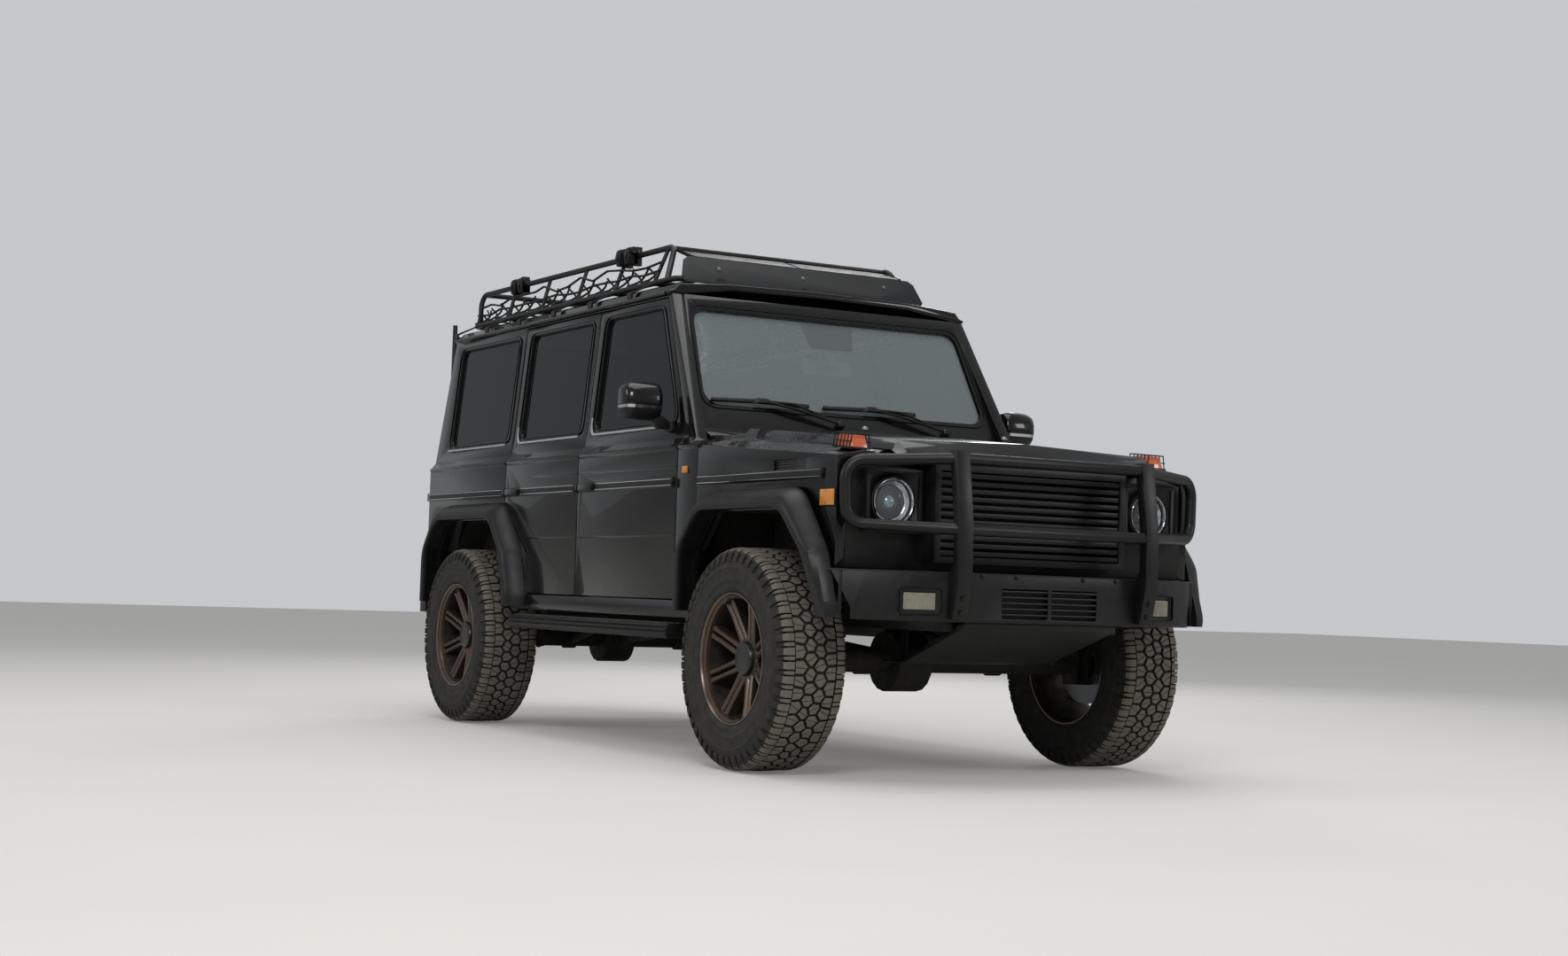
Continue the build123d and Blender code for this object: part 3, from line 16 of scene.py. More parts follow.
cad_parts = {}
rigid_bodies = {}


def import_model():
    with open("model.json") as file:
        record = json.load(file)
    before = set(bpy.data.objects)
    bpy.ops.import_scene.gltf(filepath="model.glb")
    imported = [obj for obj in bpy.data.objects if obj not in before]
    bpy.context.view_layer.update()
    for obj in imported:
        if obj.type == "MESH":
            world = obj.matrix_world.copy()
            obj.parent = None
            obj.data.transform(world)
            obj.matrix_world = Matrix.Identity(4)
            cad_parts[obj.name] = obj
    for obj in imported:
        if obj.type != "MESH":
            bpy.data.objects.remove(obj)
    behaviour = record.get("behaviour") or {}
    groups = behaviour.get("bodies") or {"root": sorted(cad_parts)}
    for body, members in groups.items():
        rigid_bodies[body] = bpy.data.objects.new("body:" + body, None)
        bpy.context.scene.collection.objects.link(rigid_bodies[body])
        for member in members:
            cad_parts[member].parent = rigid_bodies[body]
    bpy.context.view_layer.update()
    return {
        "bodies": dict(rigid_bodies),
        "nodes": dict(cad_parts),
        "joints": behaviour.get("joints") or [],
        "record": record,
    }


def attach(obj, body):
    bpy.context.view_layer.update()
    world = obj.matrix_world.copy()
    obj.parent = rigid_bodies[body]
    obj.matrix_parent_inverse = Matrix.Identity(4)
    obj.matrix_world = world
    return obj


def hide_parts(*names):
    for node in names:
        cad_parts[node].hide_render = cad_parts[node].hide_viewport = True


LOG = logging.getLogger("estate")
Point2 = tuple[float, float]
Point3 = tuple[float, float, float]

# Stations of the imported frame, in metres: x forward, y to the left, z up.
# Heights are drawn from the body's datum plane, and Shop.finish lifts each piece by RIDE.
FRONT_X = 1.5335
REAR_X = -1.3165
HUB_Z = 0.390
RIDE = 0.030
TRACK = 0.772
BODY_Y = 0.815
SHOULDER_Y, SHOULDER_Z = 0.790, 1.255
GUTTER_Y, GUTTER_Z = 0.728, 1.880
BELT_Z = 1.220
COWL_X = FRONT_X - 0.487
NOSE_X = FRONT_X + 0.560
DOOR_X = FRONT_X - 0.670
SPLIT_X = FRONT_X - 1.640
DOOR_REAR_X = FRONT_X - 2.481
TAIL_X = REAR_X - 0.655
SIDES = ((-1, "right"), (1, "left"))


class Body(str, Enum):
    """Bodies of the frame that pieces ride on."""

    VEHICLE = "vehicle"
    BONNET = "bonnet_lid"
    TAIL = "tail_door"
    STEERING = "steering"


def linear(code: str) -> tuple[float, float, float, float]:
    """Turn an sRGB hex colour into linear values.

    Args:
        code: Six hex digits.

    Returns:
        Red, green, blue and alpha.
    """
    parts = [int(code[i : i + 2], 16) / 255 for i in (0, 2, 4)]
    red, green, blue = (c / 12.92 if c <= 0.04045 else ((c + 0.055) / 1.055) ** 2.4 for c in parts)
    return red, green, blue, 1.0


def add_node(tree: bpy.types.NodeTree, kind: str, settings: dict, links: dict) -> bpy.types.Node:
    """Add a node with its settings and the links into it.

    Args:
        tree: The material's node tree.
        kind: Node type name.
        settings: Properties, or input values where the key is an input's name or index.
        links: Input name or index to the socket that feeds it.

    Returns:
        The new node.
    """
    node = tree.nodes.new(kind)
    for key, value in settings.items():
        if isinstance(key, int) or key in node.inputs:
            node.inputs[key].default_value = value
        else:
            setattr(node, key, value)
    for key, socket in links.items():
        tree.links.new(socket, node.inputs[key])
    return node


@dataclass(frozen=True)
class Finish:
    """A surface finish: record slot, base colour, shine, fine grain, mottling and settled dust."""

    name: str
    slot: str
    colour: str
    roughness: float
    metallic: float = 0.0
    coat: float = 0.0
    grain_mm: float = 1.5
    grain_depth: float = 0.0
    mottle: float = 0.15
    mottle_mm: float = 60.0
    dust: float = 0.0
    dust_colour: str = "6E675B"
    specular: float = 0.5
    alpha: float = 1.0
    rough_spread: float = 0.08

    def build(self) -> bpy.types.Material:
        """Make the material, or return it if it is there already.

        Returns:
            The material.
        """
        found = bpy.data.materials.get(self.name)
        if found:
            return found
        made = bpy.data.materials.new(self.name)
        made.use_nodes = True
        tree = made.node_tree
        shader = next(n for n in tree.nodes if n.type == "BSDF_PRINCIPLED")
        place = add_node(tree, "ShaderNodeTexCoord", {}, {}).outputs["Object"]
        scale = {"Scale": 1000 / self.mottle_mm, "Detail": 4.0}
        mottle = add_node(tree, "ShaderNodeTexNoise", scale, {"Vector": place}).outputs["Fac"]
        base = linear(self.colour)
        dark = tuple(c * (1 - self.mottle) for c in base[:3]) + (1.0,)
        light = tuple(min(1.0, c * (1 + self.mottle)) for c in base[:3]) + (1.0,)
        tints = {"data_type": "RGBA", 6: dark, 7: light}
        tint = add_node(tree, "ShaderNodeMix", tints, {0: mottle}).outputs[2]
        if self.dust:
            tint = self.add_dust(tree, place, tint)
        spread = {3: self.roughness - self.rough_spread, 4: self.roughness + self.rough_spread}
        rough = add_node(tree, "ShaderNodeMapRange", spread, {0: mottle}).outputs[0]
        tree.links.new(tint, shader.inputs["Base Color"])
        tree.links.new(rough, shader.inputs["Roughness"])
        for key, value in (
            ("Metallic", self.metallic),
            ("Specular IOR Level", self.specular),
            ("Coat Weight", self.coat),
            ("Coat Roughness", 0.03),
            ("Alpha", self.alpha),
        ):
            shader.inputs[key].default_value = value
        if self.grain_depth:
            scale = {"Scale": 1000 / self.grain_mm, "Detail": 2.0}
            grain = add_node(tree, "ShaderNodeTexNoise", scale, {"Vector": place}).outputs["Fac"]
            depth = {"Strength": 0.5, "Distance": self.grain_depth / 1000}
            bump = add_node(tree, "ShaderNodeBump", depth, {"Height": grain}).outputs[0]
            tree.links.new(bump, shader.inputs["Normal"])
        return made

    def add_dust(
        self, tree: bpy.types.NodeTree, place: bpy.types.NodeSocket, tint: bpy.types.NodeSocket
    ) -> bpy.types.NodeSocket:
        """Lay dust on faces that look up, broken up by noise.

        Args:
            tree: The material's node tree.
            place: Object coordinates.
            tint: Clean colour.

        Returns:
            The dusted colour's socket.
        """
        normal = add_node(tree, "ShaderNodeNewGeometry", {}, {}).outputs["Normal"]
        upward = add_node(tree, "ShaderNodeSeparateXYZ", {}, {0: normal}).outputs[2]
        scale = {"Scale": 22.0, "Detail": 6.0, "Roughness": 0.7}
        patches = add_node(tree, "ShaderNodeTexNoise", scale, {"Vector": place}).outputs["Fac"]
        lift = add_node(
            tree, "ShaderNodeMapRange", {1: -0.4, 2: 1.0, 3: 0.25, 4: 1.0}, {0: upward}
        ).outputs[0]
        reach = {1: 0.35, 2: 0.75, 3: 0.0, 4: self.dust}
        spread = add_node(tree, "ShaderNodeMapRange", reach, {0: patches}).outputs[0]
        share = add_node(tree, "ShaderNodeMath", {"operation": "MULTIPLY"}, {0: lift, 1: spread}).outputs[0]
        dusty = {"data_type": "RGBA", 7: linear(self.dust_colour)}
        return add_node(tree, "ShaderNodeMix", dusty, {0: share, 6: tint}).outputs[2]


# Two-coat gloss black body paint: deep, clear-coated, with a little orange peel and road dust
PAINT = Finish(
    "gloss_black_body_paint", "body_paint", "050506", 0.28, coat=0.62, specular=0.15, grain_mm=9,
    grain_depth=0.012, dust=0.03
)
# Moulded ABS in satin black for flares, bumpers and trim: fine grain, dust in the grain
TRIM = Finish(
    "moulded_satin_abs", "satin_trim", "0B0B0C", 0.44, specular=0.35, grain_mm=1.2, grain_depth=0.12,
    dust=0.10
)
# Powder-coated steel tube: satin black with the powder's light texture
COAT = Finish(
    "powder_coated_steel", "coated_steel", "0B0B0C", 0.42, specular=0.35, grain_mm=2.2, grain_depth=0.16,
    dust=0.08
)
# Grey-black satin sheet of the wind deflector
SHEET = Finish(
    "anodised_deflector_sheet", "coated_steel", "1C1D1F", 0.52, metallic=0.35, grain_mm=3, grain_depth=0.05,
    dust=0.05
)
# Underbody wax over steel: dull black with mud film
UNDER = Finish(
    "waxed_underbody_steel", "chassis_steel", "101010", 0.75, grain_mm=4, grain_depth=0.4, dust=0.40
)
# Sand-cast iron housings of the axles and gearbox
CAST = Finish(
    "sand_cast_iron", "cast_metal", "1D1C1B", 0.78, metallic=0.2, grain_mm=2.5, grain_depth=0.5, dust=0.45
)
# Vulcanised tyre rubber: charcoal with dry pale dirt in the tread
TYRE = Finish(
    "vulcanised_tyre_rubber", "tyre_rubber", "131313", 0.80, grain_mm=1.4, grain_depth=0.25, mottle=0.25,
    dust=0.40
)
# Tread face rubbed grey by gravel
TREAD = Finish(
    "gravel_worn_tread", "tyre_rubber", "6A645A", 0.86, grain_mm=2.5, grain_depth=0.5, mottle=0.5,
    mottle_mm=9, dust=0.60
)
# Extruded EPDM window rubber
SEAL = Finish("epdm_window_rubber", "satin_trim", "0C0C0C", 0.62, grain_mm=1, grain_depth=0.05)
# Bronze painted forged alloy of the wheels
BRONZE = Finish(
    "bronze_painted_alloy", "wheel_bronze", "54443A", 0.36, metallic=0.75, coat=0.3, grain_mm=2,
    grain_depth=0.03, dust=0.18
)
# Bronze of the rim lip, lightened as a painted highlight
LIP_HIGHLIGHT = Finish(
    "bronze_rim_lip", "wheel_bronze", "75655A", 0.30, metallic=0.90, coat=0.3, grain_mm=1.2,
    grain_depth=0.02, dust=0.12
)
# Dark inside of the rim barrel: painted shade, with settled dust
SHADOW = Finish(
    "dusty_rim_barrel", "wheel_bronze", "1B1714", 0.62, metallic=0.5, grain_mm=3, grain_depth=0.05,
    dust=0.45
)
# Satin black moulded hub cap
CAP = Finish(
    "moulded_hub_cap", "satin_trim", "0D0D0E", 0.34, coat=0.2, grain_mm=1.2, grain_depth=0.02, dust=0.10
)
# Thin grey strip under the side windows
GREY_STRIP = Finish("grey_window_strip", "satin_trim", "A3A7AA", 0.42, grain_mm=2, grain_depth=0.02)
# Aluminised bowl of the headlamps
BOWL = Finish("aluminised_reflector", "lamp_bright", "E6EAEC", 0.22, metallic=0.85, mottle=0.05, mottle_mm=12)
# Bluish coated glass of the projector
PROJECTOR = Finish(
    "coated_projector_glass", "lamp_bright", "86A2AE", 0.08, metallic=0.7, coat=1.0, mottle=0.2,
    mottle_mm=14
)
# Braided polypropylene cord of the cargo net
CORD = Finish("braided_net_cord", "satin_trim", "101011", 0.80, grain_mm=1.4, grain_depth=0.4, dust=0.15)
# Piping along the seats' seams
PIPING = Finish("sewn_seat_piping", "seat_leather", "101012", 0.60, grain_mm=1.5, grain_depth=0.15)
# Epoxy coated spring wire
SPRING = Finish(
    "epoxy_coated_spring_wire", "coated_steel", "1A1A1B", 0.5, grain_mm=3, grain_depth=0.1, dust=0.4
)
# Studded rubber of the running boards
STUDDED = Finish("studded_step_rubber", "satin_trim", "0F0F0F", 0.78, grain_mm=4, grain_depth=0.6, dust=0.35)
# Polished and plated brightwork
CHROME = Finish(
    "plated_brightwork", "bright_steel", "C9CCD0", 0.10, metallic=1.0, mottle=0.05, rough_spread=0.04
)
# Satin zinc fasteners and brake parts
ZINC = Finish("zinc_plated_steel", "bright_steel", "85878A", 0.38, metallic=0.9)
# Green-tinted laminated windscreen, its pale part-opaque colour a painted reflection of the sky
SCREEN = Finish(
    "laminated_windscreen", "window_glass", "B4C2C4", 0.03, mottle=0.03, alpha=0.19, coat=1.0,
    rough_spread=0.02
)
# Dark privacy glass of the sides
TINT = Finish(
    "privacy_glass", "window_glass", "060708", 0.03, mottle=0.05, alpha=0.92, specular=0.3,
    rough_spread=0.02
)
# Clear polycarbonate of the headlamps
LENS = Finish("clear_polycarbonate", "lamp_glass", "DDE3E6", 0.04, mottle=0.02, alpha=0.07, rough_spread=0.02)
# Ribbed pressed glass of the fog lamps
RIBBED = Finish(
    "pressed_fog_glass", "lamp_glass", "8F8C7C", 0.20, mottle=0.25, mottle_mm=20, coat=0.6,
    rough_spread=0.05
)
# Amber acrylic
AMBER = Finish("amber_acrylic", "amber_lens", "D0822A", 0.18, coat=0.6, mottle=0.1)
# Orange acrylic behind the wing lamps' cages
ORANGE = Finish("orange_acrylic", "amber_lens", "D0643E", 0.22, coat=0.6, mottle=0.1)
# Red acrylic of the rear lamps
RED = Finish("red_acrylic", "red_lens", "6E0A0C", 0.20, coat=0.6, mottle=0.1)
# Leather of the seats
LEATHER = Finish("pebbled_leather", "seat_leather", "1C1C1E", 0.52, grain_mm=2.4, grain_depth=0.35)
# Soft-skinned cabin plastic
CABIN = Finish("soft_cabin_plastic", "cabin_plastic", "17181A", 0.60, grain_mm=1.6, grain_depth=0.2)
# Brushed stainless exhaust
STEEL = Finish(
    "brushed_stainless", "bright_steel", "6B6660", 0.42, metallic=0.9, grain_mm=3, grain_depth=0.05,
    dust=0.3
)


class Shop:
    """Turns bmesh work into finished pieces of the model."""

    @staticmethod
    def bevel(
        bm: bmesh.types.BMesh, edges: list, radius: float, segments: int = 2, clamp: bool = False
    ) -> list[bmesh.types.BMFace]:
        """Round some edges.

        Args:
            bm: The mesh.
            edges: The edges.
            radius: Bevel offset in metres.
            segments: Bevel segments.
            clamp: Whether the offset stops where it would overlap.

        Returns:
            The new faces.
        """
        return bmesh.ops.bevel(
            bm,
            geom=edges,
            offset=radius,
            segments=segments,
            profile=0.5,
            affect="EDGES",
            material=-1,
            clamp_overlap=clamp,
        )["faces"]

    @staticmethod
    def loft(bm: bmesh.types.BMesh, rings: Iterable[Iterable[Point3]], caps: bool = True) -> None:
        """Skin a row of rings.

        Args:
            bm: The mesh to add to.
            rings: Rings of as many points each.
            caps: Whether both ends are closed, or else the last ring joins the first.
        """
        loops = []
        for ring in rings:
            verts = [bm.verts.new(point) for point in ring]
            loops.append([bm.edges.new(pair) for pair in zip(verts, verts[1:] + verts[:1])])
        for first, second in zip(loops, loops[1:] if caps else loops[1:] + loops[:1]):
            bmesh.ops.bridge_loops(bm, edges=first + second)
        if caps:
            bmesh.ops.holes_fill(bm, edges=loops[0] + loops[-1], sides=0)

    @staticmethod
    def finish(
        bm: bmesh.types.BMesh,
        name: str,
        body: str,
        finish: Finish,
        stands_for: Iterable[str] = (),
        slot: str = "",
        smooth: float = 40.0,
        recalc: bool = True,
        lift: float = RIDE,
        more: Sequence[Finish] = (),
    ) -> bpy.types.Object:
        """Make an object from a bmesh, dress it and let it ride.

        Args:
            bm: The mesh, freed afterwards.
            name: Piece name.
            body: Body of the frame.
            finish: Its finish.
            stands_for: CAD nodes that it replaces.
            slot: Material slot of the record, where it isn't the finish's own. Not used.
            smooth: Sharpest angle in degrees that is shaded smooth.
            recalc: Whether the faces are turned outwards.
            lift: How far the mesh is raised from the datum plane.
            more: Further finishes, for the faces that have their index.

        Returns:
            The piece.
        """
        bmesh.ops.translate(bm, verts=bm.verts, vec=(0, 0, lift))
        if recalc:
            bmesh.ops.recalc_face_normals(bm, faces=bm.faces)
        mesh = bpy.data.meshes.new(name)
        bm.to_mesh(mesh)
        bm.free()
        for coat in (finish, *more):
            mesh.materials.append(coat.build())
        mesh.shade_smooth()
        mesh.set_sharp_from_angle(angle=math.radians(smooth))
        piece = bpy.data.objects.new(name, mesh)
        bpy.context.scene.collection.objects.link(piece)
        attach(piece, str(body.value if isinstance(body, Enum) else body))
        slot = slot or finish.slot
        nodes = list(stands_for)
        if nodes:
            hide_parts(*nodes)
        LOG.info("%s: %d faces", name, len(mesh.polygons))
        return piece

    @staticmethod
    def merged_copy(node: bpy.types.Object) -> bmesh.types.BMesh:
        """Copy a CAD node's mesh, with its triangles joined into flat faces.

        Args:
            node: The CAD node, which stays as it is.

        Returns:
            The copy.
        """
        bm = bmesh.new()
        bm.from_mesh(node.data)
        bmesh.ops.remove_doubles(bm, verts=bm.verts, dist=2e-5)
        bmesh.ops.dissolve_limit(bm, angle_limit=math.radians(1.0), verts=bm.verts, edges=bm.edges)
        return bm

    @staticmethod
    def round_edges(bm: bmesh.types.BMesh, radius: float, segments: int = 2, sharper: float = 25.0) -> None:
        """Round every edge sharper than an angle.

        Args:
            bm: The mesh.
            radius: Bevel offset in metres.
            segments: Bevel segments.
            sharper: Angle in degrees from which an edge is rounded.
        """
        limit = math.radians(sharper)
        edges = [e for e in bm.edges if len(e.link_faces) == 2 and e.calc_face_angle(0.0) > limit]
        Shop.bevel(bm, edges, radius, segments, clamp=True)

    @staticmethod
    def slab(bm: bmesh.types.BMesh, points: Sequence[Point3], push: Point3) -> list[bmesh.types.BMVert]:
        """Extrude a flat polygon.

        Args:
            bm: The mesh to add to.
            points: Corners of the polygon.
            push: Extrusion vector.

        Returns:
            The new vertices.
        """
        verts = [bm.verts.new(p) for p in points]
        face = bm.faces.new(verts)
        made = bmesh.ops.extrude_face_region(bm, geom=[face])
        moved = [v for v in made["geom"] if isinstance(v, bmesh.types.BMVert)]
        bmesh.ops.translate(bm, verts=moved, vec=push)
        return verts + moved

    @staticmethod
    def box(
        bm: bmesh.types.BMesh, low: Point3, high: Point3, radius: float = 0.0, segments: int = 2
    ) -> list[bmesh.types.BMVert]:
        """Add a box between two corners, with rounded edges.

        Args:
            bm: The mesh to add to.
            low: Lowest corner.
            high: Highest corner.
            radius: Edge radius.
            segments: Bevel segments.

        Returns:
            The new vertices.
        """
        size = [h - l for l, h in zip(low, high)]
        centre = [(h + l) / 2 for l, h in zip(low, high)]
        matrix = Matrix.Translation(centre) @ Matrix.Diagonal((*size, 1.0))
        made = bmesh.ops.create_cube(bm, size=1.0, matrix=matrix)["verts"]
        if radius:
            edges = list({e for v in made for e in v.link_edges})
            faces = Shop.bevel(bm, edges, min(radius, min(size) * 0.45), segments)
            made = list({v for f in faces for v in f.verts})
        return made

    @staticmethod
    def lathe(
        bm: bmesh.types.BMesh,
        profile: Sequence[Point2],
        steps: int,
        centre: Point3 = (0.0, 0.0, 0.0),
        axis: Point3 = (0.0, 1.0, 0.0),
        closed: bool = True,
    ) -> list[bmesh.types.BMVert]:
        """Spin a profile of (along, radius) points round an axis.

        Args:
            bm: The mesh to add to.
            profile: Points along the axis and out from it.
            steps: Steps in the full turn.
            centre: Point on the axis.
            axis: Direction of the axis.
            closed: Whether the profile is a closed loop.

        Returns:
            The new vertices.
        """
        before = set(bm.verts)
        along = Vector(axis).normalized()
        out = along.orthogonal().normalized()
        hub = Vector(centre)
        verts = [bm.verts.new(hub + along * a + out * r) for a, r in profile]
        edges = [bm.edges.new(pair) for pair in zip(verts, verts[1:])]
        if closed:
            edges.append(bm.edges.new((verts[-1], verts[0])))
        bmesh.ops.spin(
            bm, geom=verts + edges, cent=hub, axis=along, angle=2 * math.pi, steps=steps, use_merge=True
        )
        made = [v for v in bm.verts if v not in before]
        bmesh.ops.remove_doubles(bm, verts=made, dist=1e-6)
        return [v for v in bm.verts if v not in before]

    @staticmethod
    def bar(
        bm: bmesh.types.BMesh, points: Sequence[Point3], radius: float, bend: float = 0.0, sides: int = 12
    ) -> None:
        """Add a round tube along straight runs with arcs at the corners.

        Args:
            bm: The mesh to add to.
            points: Corners of the run.
            radius: Tube radius.
            bend: Radius of the corners.
            sides: Sides of the tube.
        """
        route = rounded_route(points, bend)
        curve = bpy.data.curves.new("bar", "CURVE")
        curve.dimensions = "3D"
        curve.bevel_depth = radius
        curve.bevel_resolution = max(0, sides // 4 - 1)
        curve.use_fill_caps = True
        spline = curve.splines.new("POLY")
        spline.points.add(len(route) - 1)
        for place, corner in zip(spline.points, route):
            place.co = (*corner, 1.0)
        holder = bpy.data.objects.new("bar", curve)
        mesh = bpy.data.meshes.new_from_object(holder)
        bm.from_mesh(mesh)
        bpy.data.objects.remove(holder)
        bpy.data.curves.remove(curve)
        bpy.data.meshes.remove(mesh)

    @staticmethod
    def mirror_y(bm: bmesh.types.BMesh) -> None:
        """Add the mirror image across the vehicle's middle.

        Args:
            bm: The mesh of one side.
        """
        other = bm.copy()
        bmesh.ops.scale(other, vec=(1, -1, 1), verts=other.verts)
        bmesh.ops.reverse_faces(other, faces=other.faces)
        Shop.join(bm, other)

    @staticmethod
    def join(bm: bmesh.types.BMesh, other: bmesh.types.BMesh, matrix: Matrix | None = None) -> None:
        """Add another mesh and free it.

        Args:
            bm: The mesh to add to.
            other: The mesh that is added.
            matrix: Where it goes.
        """
        if matrix is not None:
            bmesh.ops.transform(other, matrix=matrix, verts=other.verts)
        mesh = bpy.data.meshes.new("joined")
        other.to_mesh(mesh)
        other.free()
        bm.from_mesh(mesh)
        bpy.data.meshes.remove(mesh)

    @staticmethod
    def hull(bm: bmesh.types.BMesh, points: Sequence[Point3], radius: float = 0.0, segments: int = 2) -> None:
        """Add the convex solid round some points, with rounded edges.

        Args:
            bm: The mesh to add to.
            points: Corners of the solid.
            radius: Edge radius.
            segments: Bevel segments.
        """
        solid = bmesh.new()
        for point in points:
            solid.verts.new(point)
        result = bmesh.ops.convex_hull(solid, input=solid.verts)
        spare = [
            g for g in result["geom_interior"] + result["geom_unused"] if isinstance(g, bmesh.types.BMVert)
        ]
        bmesh.ops.delete(solid, geom=list(set(spare)), context="VERTS")
        bmesh.ops.recalc_face_normals(solid, faces=solid.faces)
        bmesh.ops.dissolve_limit(solid, angle_limit=0.01, verts=solid.verts, edges=solid.edges)
        if radius:
            Shop.round_edges(solid, radius, segments)
        Shop.join(bm, solid)

    @staticmethod
    def sheet(
        outline: Sequence[Point2], depth: float, radius: float = 0.0, low: float = 0.0
    ) -> bmesh.types.BMesh:
        """Extrude a flat outline in its own (u, v, depth) space.

        Args:
            outline: Corners in order.
            depth: Thickness.
            radius: Radius of the front edges.
            low: Depth of the back face.

        Returns:
            The solid.
        """
        solid = bmesh.new()
        Shop.slab(solid, [(u, v, low) for u, v in outline], (0, 0, depth))
        bmesh.ops.recalc_face_normals(solid, faces=solid.faces)
        if radius:
            top = low + depth
            edges = [e for e in solid.edges if all(abs(v.co.z - top) < 1e-7 for v in e.verts)]
            Shop.bevel(solid, edges, radius)
        return solid

    @staticmethod
    def ring(
        outline: Sequence[Point2], width: float, depth: float, radius: float = 0.0, low: float = 0.0
    ) -> bmesh.types.BMesh:
        """Make a flat frame inside an outline, in its own (u, v, depth) space.

        Args:
            outline: Outer corners in order.
            width: Width of the frame.
            depth: Thickness.
            radius: Radius of the front edges.
            low: Depth of the back face.

        Returns:
            The frame.
        """
        frame = bmesh.new()
        face = frame.faces.new([frame.verts.new((u, v, low)) for u, v in outline])
        bmesh.ops.inset_region(frame, faces=[face], thickness=width, use_boundary=True, use_even_offset=True)
        bmesh.ops.delete(frame, geom=[face], context="FACES_ONLY")
        made = bmesh.ops.extrude_face_region(frame, geom=list(frame.faces))["geom"]
        moved = [g for g in made if isinstance(g, bmesh.types.BMVert)]
        bmesh.ops.translate(frame, verts=moved, vec=(0, 0, depth))
        bmesh.ops.recalc_face_normals(frame, faces=frame.faces)
        if radius:
            top = low + depth
            edges = [e for e in frame.edges if all(abs(v.co.z - top) < 1e-7 for v in e.verts)]
            Shop.bevel(frame, [e for e in edges if e.calc_face_angle(0.0) > 0.8], radius)
        return frame

    @staticmethod
    def lay(flat: bmesh.types.BMesh, place: Callable[[float, float, float], Point3]) -> bmesh.types.BMesh:
        """Move a mesh from its flat (u, v, depth) space onto a surface.

        Args:
            flat: The mesh.
            place: Turns u, v and depth into a place.

        Returns:
            The same mesh.
        """
        for vert in flat.verts:
            vert.co = place(*vert.co)
        return flat


def rounded_route(points: Sequence[Point3], bend: float, steps: int = 6) -> list[Vector]:
    """Round the corners of a route of straight runs.

    Args:
        points: Corners.
        bend: Bend radius.
        steps: Points on each arc.

    Returns:
        The points of the rounded route.
    """
    corners = [Vector(p) for p in points]
    if bend <= 0 or len(corners) < 3:
        return corners
    route = [corners[0]]
    for before, corner, after in zip(corners, corners[1:], corners[2:]):
        back, ahead = (before - corner), (after - corner)
        half = back.angle(ahead) / 2
        reach = min(bend / math.tan(half), back.length * 0.49, ahead.length * 0.49)
        start, end = corner + back.normalized() * reach, corner + ahead.normalized() * reach
        for i in range(steps + 1):
            t = i / steps
            route.append(start * (1 - t) ** 2 + corner * 2 * t * (1 - t) + end * t**2)
    route.append(corners[-1])
    return route


def rounded_outline(corners: Sequence[Point2], radius: float, steps: int = 5) -> list[Point2]:
    """Round the corners of a closed flat outline.

    Args:
        corners: Corners in order.
        radius: Corner radius.
        steps: Points on each corner.

    Returns:
        The rounded outline.
    """
    outline: list[Point2] = []
    count = len(corners)
    for i, corner in enumerate(corners):
        here = Vector(corner)
        back = Vector(corners[i - 1]) - here
        ahead = Vector(corners[(i + 1) % count]) - here
        reach = min(radius / math.tan(back.angle(ahead) / 2), back.length * 0.49, ahead.length * 0.49)
        start, end = here + back.normalized() * reach, here + ahead.normalized() * reach
        for k in range(steps + 1):
            t = k / steps
            point = start * (1 - t) ** 2 + here * 2 * t * (1 - t) + end * t**2
            outline.append((point.x, point.y))
    return outline


def rectangle(half_u: float, half_v: float) -> list[Point2]:
    """Corners of a rectangle round the origin."""
    return [(-half_u, -half_v), (half_u, -half_v), (half_u, half_v), (-half_u, half_v)]


def side_y(z: float) -> float:
    """Find how far the cabin side's skin is from the middle.

    Args:
        z: Height over the datum plane.

    Returns:
        The distance.
    """
    if z <= BELT_Z:
        return BODY_Y
    if z <= SHOULDER_Z:
        return BODY_Y - (z - BELT_Z) * (BODY_Y - SHOULDER_Y) / (SHOULDER_Z - BELT_Z)
    return SHOULDER_Y - (z - SHOULDER_Z) * (SHOULDER_Y - GUTTER_Y) / (GUTTER_Z - SHOULDER_Z)


